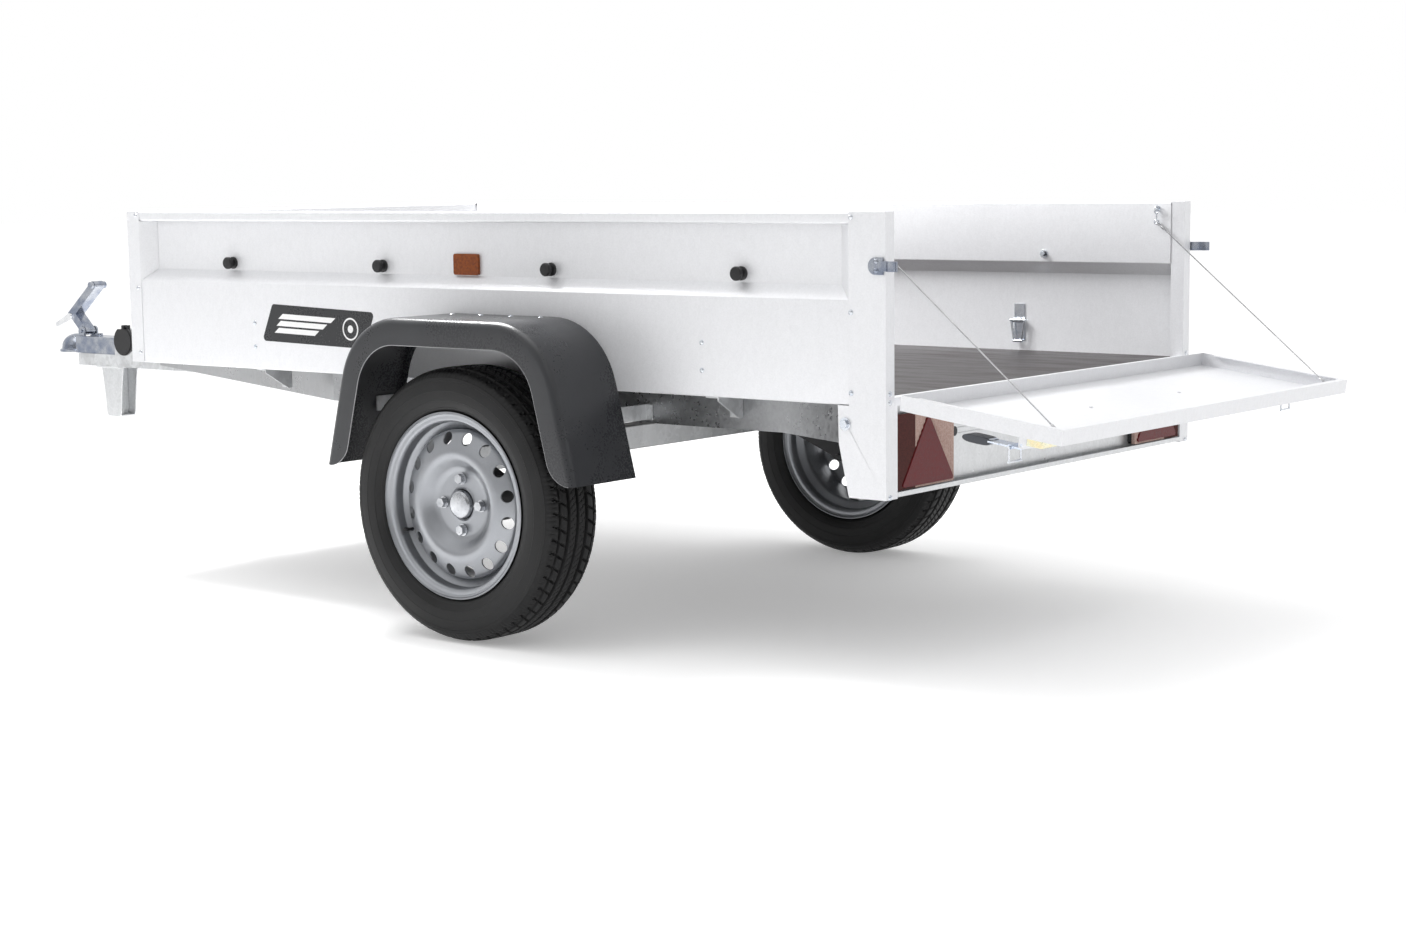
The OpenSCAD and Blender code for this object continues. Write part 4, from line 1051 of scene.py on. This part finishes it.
    def cut_vents(self, plate: bpy.types.Object, mirrored: bool) -> None:
        """Cut the round vents and the bolt holes out of the disc."""
        cx, cy, cz = self.centre()
        side = -1 if mirrored else 1
        drill = bmesh.new()
        spots = [((k + 0.5) * 2 * math.pi / self.vent_count, self.vent_circle, self.vent_radius)
                 for k in range(self.vent_count)]
        spots += [(k * math.pi / 2, 50.0, 6.8) for k in range(4)]
        for angle, circle, radius in spots:
            place = Matrix.Translation((
                (cx + circle * math.cos(angle)) * MM, side * (cy + 42) * MM,
                (cz + circle * math.sin(angle)) * MM)) @ Matrix.Rotation(math.pi / 2, 4, "X")
            bmesh.ops.create_cone(
                drill, cap_ends=True, segments=32, radius1=radius * MM, radius2=radius * MM,
                depth=50 * MM, matrix=place)
        mesh = bpy.data.meshes.new("vent_drill")
        drill.to_mesh(mesh)
        drill.free()
        tool = bpy.data.objects.new("vent_drill", mesh)
        bpy.context.scene.collection.objects.link(tool)
        cut = plate.modifiers.new("vents", "BOOLEAN")
        cut.object, cut.operation, cut.solver = tool, "DIFFERENCE", "EXACT"
        bpy.context.view_layer.update()
        graph = bpy.context.evaluated_depsgraph_get()
        done = bpy.data.meshes.new_from_object(plate.evaluated_get(graph))
        plate.modifiers.clear()
        plate.data = done
        bpy.data.objects.remove(tool)
        done.polygons.foreach_set("use_smooth", [True] * len(done.polygons))
        done.set_sharp_from_angle(angle=math.radians(40))

    def valve(self, mirrored: bool) -> None:
        """Add the rubber valve with its ribbed cap."""
        cx, cy, cz = self.centre()
        turn = math.radians(23)
        lean = math.radians(18)
        shell = Shell()
        profile = [(0, 4.6), (3, 4.6), (5, 3.4), (20, 3.2), (21, 4.1), (33, 4.0), (34.5, 3.0)]
        rings = []
        for along, r in profile:
            rad = 157 - math.sin(lean) * (along - 2)
            y = 29 + math.cos(lean) * (along - 2)
            ring = []
            for k in range(16):
                b = 2 * math.pi * k / 16
                wide = r * (1 + (0.06 if k % 2 and along > 20.5 else 0))
                rr = rad + wide * math.cos(b) * math.cos(lean)
                t = wide * math.sin(b)
                yy = y + wide * math.cos(b) * math.sin(lean)
                px, pz = rr * math.cos(turn) - t * math.sin(turn), rr * math.sin(turn) + t * math.cos(turn)
                ring.append((cx + px, cy + yy, cz - pz))
            rings.append(ring)
        shell.loft(rings, caps=True)
        piece(f"valve_{side_name(mirrored)}", shell, f"wheel_{side_name(mirrored)}", BLACK,
              50.0, mirrored=mirrored)

    def build(self) -> None:
        """Build both wheels and dress what turns with them."""
        for mirrored in SIDES:
            side = side_name(mirrored)
            self.tyre(mirrored)
            self.rim(mirrored)
            # Bolts and caps take the darkened chrome: painted reflection
            softened(f"wheel_bolts_{side}", f"wheel_{side}", CHROME_DARK_REFLECTION, 0.8)
            softened(f"hub_cap_{side}", f"wheel_{side}", CHROME_DARK_REFLECTION, 0.6)
            paint_nodes({f"hub_{side}": FORGED, f"swing_arm_{side}": FORGED})


@dataclass
class Tailgate:
    """The drop tailgate, its latches, stays and hooks."""

    strands: int = 6

    def build(self) -> None:
        """Dress the gate's metalwork and build the stays and latch covers."""
        softened("tailgate", "gate", SHEET, 0.7)
        softened("gate_shackles", "gate", PLATED, 0.3)
        softened("latch_strikes", "chassis", COUPLER_PLATED, 0.5)
        paint_nodes({"gate_hinge_pins": PLATED, "stay_hooks": PLATED})
        for side in ("left", "right"):
            softened(f"latch_lever_{side}", f"latch_{side}", BLUE_PLATED, 0.6)
            paint_nodes({f"latch_bail_{side}": PLATED})
            self.grip(side)
            self.stay(side)

    def gate_point(self, x: float, y: float, up: float) -> Point:
        """Return the place of a point given on the closed gate about its hinge axis."""
        turn = math.radians(-(90 + 7.6))
        c, s = math.cos(turn), math.sin(turn)
        return (station(-20) + x * c + up * s, y, DECK + 6 - x * s + up * c)

    def grip(self, side: str) -> None:
        """Add the plastic grip over the lever's end and the yellow cover over the latch's base."""
        sign = 1 if side == "left" else -1
        middle = HALF_WIDTH - 38
        rings = []
        for y in (-15.2, -14, 14, 15.2):
            inset = 1.6 if abs(y) > 15 else 0.0
            outline = []
            for k in range(24):
                a = 2 * math.pi * k / 24
                bend = 3.5 * (math.sin(a) < 0)
                outline.append((
                    -33.5 + (7.2 - inset) * math.cos(a),
                    156.0 + (27.5 - inset) * math.copysign(abs(math.sin(a)) ** 0.6, math.sin(a)) - bend))
            rings.append([self.gate_point(x, sign * (middle + y), up) for x, up in outline])
        piece(f"latch_grip_{side}", Shell().loft(rings, caps=True), f"latch_{side}", GRIP,
              50.0, 0.8)
        shell = Shell()
        low, high = (-23.0, 257.6), (-8.7, 288.4)
        ring = [(low[0], low[1]), (low[0], high[1]), (high[0], high[1]), (high[0], low[1])]
        rings = [[self.gate_point(x, sign * (middle + y), up) for x, up in ring] for y in (-25.2, 25.2)]
        shell.loft([rings[0], rings[1]], caps=True)
        piece(f"latch_cover_{side}", shell, "gate", YELLOW_PLATED, 35.0, 1.2)

    def stay(self, side: str) -> None:
        """Build one stay: twisted wire, thimbles and pressed ferrules."""
        low, high = (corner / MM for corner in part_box(f"stay_wire_{side}"))
        y = (low.y + high.y) / 2
        top = Vector((high.x - 6.0, y, high.z - 5.4))
        foot = Vector((low.x + 6.0, y, low.z + 5.4))
        pull = (top - foot).normalized()
        side_way = Vector((0, 1, 0))
        out = pull.cross(side_way)
        shell = Shell()
        count = 90
        for strand in range(self.strands):
            path = []
            for i in range(count):
                t = i / (count - 1)
                spot = foot.lerp(top, 0.02 + 0.96 * t)
                a = 2 * math.pi * (strand / self.strands + 22 * t)
                path.append(tuple(spot + (side_way * math.cos(a) + out * math.sin(a)) * 0.85))
            shell.tube(path, 0.62, 5)
        for spot, away in ((foot, pull), (top, -pull)):
            shell.ring(tuple(spot), tuple(out), 5.0, 1.5)
            sleeve = [spot + away * d for d in (5.8, 6.6, 16.4, 17.2)]
            rings = []
            for point, r in zip(sleeve, (1.8, 2.8, 2.8, 1.8)):
                rings.append([tuple(point + side_way * u * 1.15 + out * v * 0.85) for u, v in circle(r, 14)])
            shell.loft(rings, caps=True)
        mesh = bpy.data.meshes.new(f"stay_{side}")
        mesh.from_pydata([(px * MM, py * MM, pz * MM) for px, py, pz in shell.points], [], shell.faces)
        mesh.materials.append(WIRE_PLATED.material())
        mesh.polygons.foreach_set("use_smooth", [True] * len(mesh.polygons))
        made = bpy.data.objects.new(f"stay_{side}", mesh)
        bpy.context.scene.collection.objects.link(made)
        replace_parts(made, f"stay_wire_{side}")
        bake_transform(made)


@dataclass
class Lamps:
    """Rear lamps with ribbed lenses and triangles, and the reflectors."""

    ribs: int = 19

    def plate(self, shell: Shell, corners: Sequence[Pair], front: float, back: float) -> None:
        """Add a flat plate of (Y, Z) corners between two X planes."""
        rings = [[(x, y, z) for y, z in corners] for x in (front, back)]
        shell.loft(rings, caps=True)

    def build(self) -> None:
        """Build the lenses of both rear lamps."""
        low, high = (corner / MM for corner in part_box("lamp_lenses"))
        inner = 339.0
        outer = high.y
        split = (inner + outer) / 2 + 34
        for mirrored in SIDES:
            side = side_name(mirrored)
            for part, y0, y1, finish in (
                    ("pale", inner, split, PALE_LENS), ("brown", split, outer, BROWN_LENS)):
                shell = Shell()
                ring_low, ring_high = [], []
                count = self.ribs * 4
                for k in range(count + 1):
                    y = y0 + (y1 - y0) * k / count
                    x = low.x + 3.2 + 0.9 * math.cos(2 * math.pi * self.ribs * k / count)
                    ring_low.append((x, y, low.z))
                    ring_high.append((x, y, high.z))
                back = low.x + 11
                ring_low += [(back, y1, low.z), (back, y0, low.z)]
                ring_high += [(back, y1, high.z), (back, y0, high.z)]
                shell.loft([ring_low, ring_high], caps=True)
                made = piece(f"lamp_{part}_{side}", shell, "chassis", finish, 60.0, mirrored=mirrored)
                if part == "pale" and not mirrored:
                    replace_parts(made, "lamp_lenses")
            shell = Shell()
            middle = (inner + outer) / 2 - 6
            outline = fillet(
                [(middle, low.z + 4), (inner + 4, low.z + 4), (middle, high.z - 6), (outer - 12, low.z + 4),
                 (middle, low.z + 4)], 4.0, 3)[:-1]
            self.plate(shell, outline, low.x, low.x + 4.0)
            # The triangle's red carries painted shade from the gate above
            piece(f"lamp_triangle_{side}", shell, "chassis", RED_LENS_SHADED, 40.0, 0.8, mirrored)
        softened("lamp_housings", "chassis", BLACK, 0.8)
        softened("reflectors", "chassis", AMBER_LENS, 1.2)
        self.front_reflectors()

    def front_reflectors(self) -> None:
        """Add the clear discs over the front wall's reflectors."""
        low, high = (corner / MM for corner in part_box("reflectors"))
        for mirrored in SIDES:
            rings = []
            for r, ahead in ((30.3, -5.4), (30.3, -0.4), (29.0, 0.6), (12.0, 1.0)):
                x = high.x + ahead
                rings.append([(x, HALF_WIDTH - 90 + u, DECK + 110 + v) for u, v in circle(r, 40)])
            piece(f"front_reflector_{side_name(mirrored)}", Shell().loft(rings, caps=True), "chassis",
                  WHITE_LENS, 40.0, mirrored=mirrored)


@dataclass
class Drawbar:
    """Coupling, hand lever, electrical socket and small fittings."""

    def build(self) -> None:
        """Dress the drawbar's fittings and the box's small parts."""
        softened("coupling_body", "chassis", COUPLER_PLATED, 0.9)
        softened("coupling_handle", "handle", COUPLER_PLATED, 1.6)
        softened("safety_catch", "catch", CAP_PLATED, 0.6)
        paint_nodes({"ball_clamp": FORGED})
        softened("socket_body", "chassis", BLACK, 1.0)
        softened("socket_lid", "lid", BLACK, 1.2)
        paint_nodes({"tarp_knobs": BLACK, "lash_plates": PLATED})
        for place in ("rear_left", "rear_right", "front_left", "front_right"):
            paint_nodes({f"lash_ring_{place}": PLATED})


@dataclass
class SideLabel:
    """A plain dark label on each side wall with an abstract pattern of bars and a disc."""

    corners: tuple[Pair, ...] = ((1575, 630), (1264, 620), (1296, 544), (1610, 551))
    proud: float = 0.35

    def flat(self, outline: Sequence[Pair], lift: float) -> Shell:
        """Return a thin plate of (station, Z) corners on the wall."""
        plane = HALF_WIDTH - GAUGE
        rings = [[(station(x), plane + d, z) for x, z in outline] for d in (0.02, lift)]
        return Shell().loft(rings, caps=True)

    def inside(self, u: float, v: float) -> Pair:
        """Return the (station, Z) at shares u along and v up the label."""
        a, b, c, d = (Vector(p) for p in self.corners)
        top, low = a.lerp(b, u), d.lerp(c, u)
        spot = low.lerp(top, v)
        return spot.x, spot.y

    def build(self) -> None:
        """Build the label, bars and disc on both sides."""
        for mirrored in SIDES:
            side = side_name(mirrored)
            start = tuple((Vector(self.corners[0]) + Vector(self.corners[3])) / 2)
            outline = fillet([start, self.corners[0], self.corners[1], self.corners[2], self.corners[3],
                              start], 8.0, 4)[:-1]
            piece(f"label_{side}", self.flat(outline, self.proud), "chassis", LABEL,
                  mirrored=mirrored)
            prints = Shell()
            for v0, v1, u1 in ((0.62, 0.76, 0.62), (0.43, 0.57, 0.56), (0.24, 0.38, 0.50)):
                bar = [self.inside(u, v) for u, v in ((0.10, v0), (u1, v0), (u1 + 0.03, v1), (0.13, v1))]
                part = self.flat(bar, self.proud + 0.15)
                base = len(prints.points)
                prints.points += part.points
                prints.faces += [tuple(base + i for i in f) for f in part.faces]
            centre = Vector(self.inside(0.82, 0.5))
            for inner, outer in ((20.0, 23.5), (0.5, 8.0)):
                rings = []
                for r, lift in ((inner, 0.3), (inner, self.proud + 0.15), (outer, self.proud + 0.15),
                                (outer, 0.3)):
                    rings.append([(station(centre.x + u), HALF_WIDTH - GAUGE + lift, centre.y + v)
                                  for u, v in circle(r, 40)])
                prints.loft(rings, closed_path=True)
            piece(f"label_print_{side}", prints, "chassis", LABEL_PRINT, mirrored=mirrored)


class Light(Enum):
    """Soft studio lamps: place in metres, size in metres, power in watts."""

    KEY = ((-4.2, 3.6, 4.4), 3.0, 12.0)
    SIDE = ((1.5, 6.0, 3.6), 3.4, 14.0)
    TOP = ((0.3, 0.8, 5.4), 5.0, 68.0)
    INSIDE = ((0.55, 0.25, 2.1), 0.9, 78.0)


@dataclass
class Studio:
    """Floor, lamps, sky and camera."""

    lens: float = 61.37
    eye: Point = (-2325.0, 3986.0, 894.0)
    azimuth: float = math.radians(218.582)
    pitch: float = math.radians(7.0055)
    roll: float = math.radians(-0.677)
    dusk: float = 0.32

    def floor(self) -> None:
        """Lay the pale floor."""
        mesh = bpy.data.meshes.new("studio_floor")
        size = 40.0
        mesh.from_pydata([(-size, -size, -0.0006), (size, -size, -0.0006), (size, size, -0.0006),
                          (-size, size, -0.0006)], [], [(0, 1, 2, 3)])
        mesh.materials.append(FloorFinish().material())
        made = bpy.data.objects.new("studio_floor", mesh)
        bpy.context.scene.collection.objects.link(made)
        made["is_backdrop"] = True

    def lights(self) -> None:
        """Hang the lamps and set the sky."""
        for lamp in Light:
            place, size, power = lamp.value
            data = bpy.data.lights.new(lamp.name.lower(), "AREA")
            data.shape, data.size, data.energy = "DISK", size, power
            made = bpy.data.objects.new(lamp.name.lower(), data)
            made.location = place
            made.rotation_mode = "QUATERNION"
            made.rotation_quaternion = (Vector((0, 0, 0.5)) - Vector(place)).to_track_quat("-Z", "Y")
            bpy.context.scene.collection.objects.link(made)
        self.sky()

    def sky(self) -> None:
        """Make the sky white ahead of the camera and darker behind it, so that bright metal has contrast."""
        world = bpy.data.worlds.new("studio_sky")
        graph = Graph(world, "Background")
        bright = Vector((-math.sin(self.azimuth), math.cos(self.azimuth), 1.0)).normalized()
        way = graph.node(
            "ShaderNodeVectorMath", {"operation": "DOT_PRODUCT"},
            {0: graph.node("ShaderNodeTexCoord", out="Generated"), 1: bright}, out="Value")
        glow = graph.mix(graph.band(way, -0.6, 0.45), (self.dusk,) * 3, (1.0, 1.0, 1.0))
        graph.surface(Color=glow, Strength=1.0)
        bpy.context.scene.world = world

    def camera(self) -> None:
        """Stand the camera behind the trailer's left rear corner."""
        a, p = self.azimuth, self.pitch
        ahead = Vector((-math.sin(a) * math.cos(p), math.cos(a) * math.cos(p), -math.sin(p)))
        right = Vector((math.cos(a), math.sin(a), 0.0))
        up = right.cross(ahead)
        c, s = math.cos(self.roll), math.sin(self.roll)
        right, up = right * c + up * s, up * c - right * s
        data = bpy.data.cameras.new("camera")
        data.lens, data.sensor_width, data.sensor_fit = self.lens, 36.0, "HORIZONTAL"
        data.clip_end = 200.0
        made = bpy.data.objects.new("camera", data)
        x, y, z = self.eye
        turn = Matrix((right, up, -ahead)).transposed()
        made.matrix_world = Matrix.Translation((station(x) * MM, y * MM, z * MM)) @ turn.to_4x4()
        bpy.context.scene.collection.objects.link(made)
        bpy.context.scene.camera = made

    def build(self) -> None:
        """Set the whole studio up."""
        self.floor()
        self.lights()
        self.camera()
        bpy.context.scene.view_settings.view_transform = "Standard"


def main() -> None:
    """Build the sub-assemblies in order, then the studio."""
    logging.basicConfig(level=logging.INFO, format="%(name)s: %(message)s")
    parts = (LoadBox(), Chassis(), Mudguards(), Wheels(), Tailgate(), Lamps(), Drawbar(), SideLabel())
    for part in parts:
        before = len(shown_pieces())
        part.build()
        LOG.info("%s built, %d pieces more", type(part).__name__, len(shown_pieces()) - before)
    Studio().build()


if __name__ == "__main__":
    main()
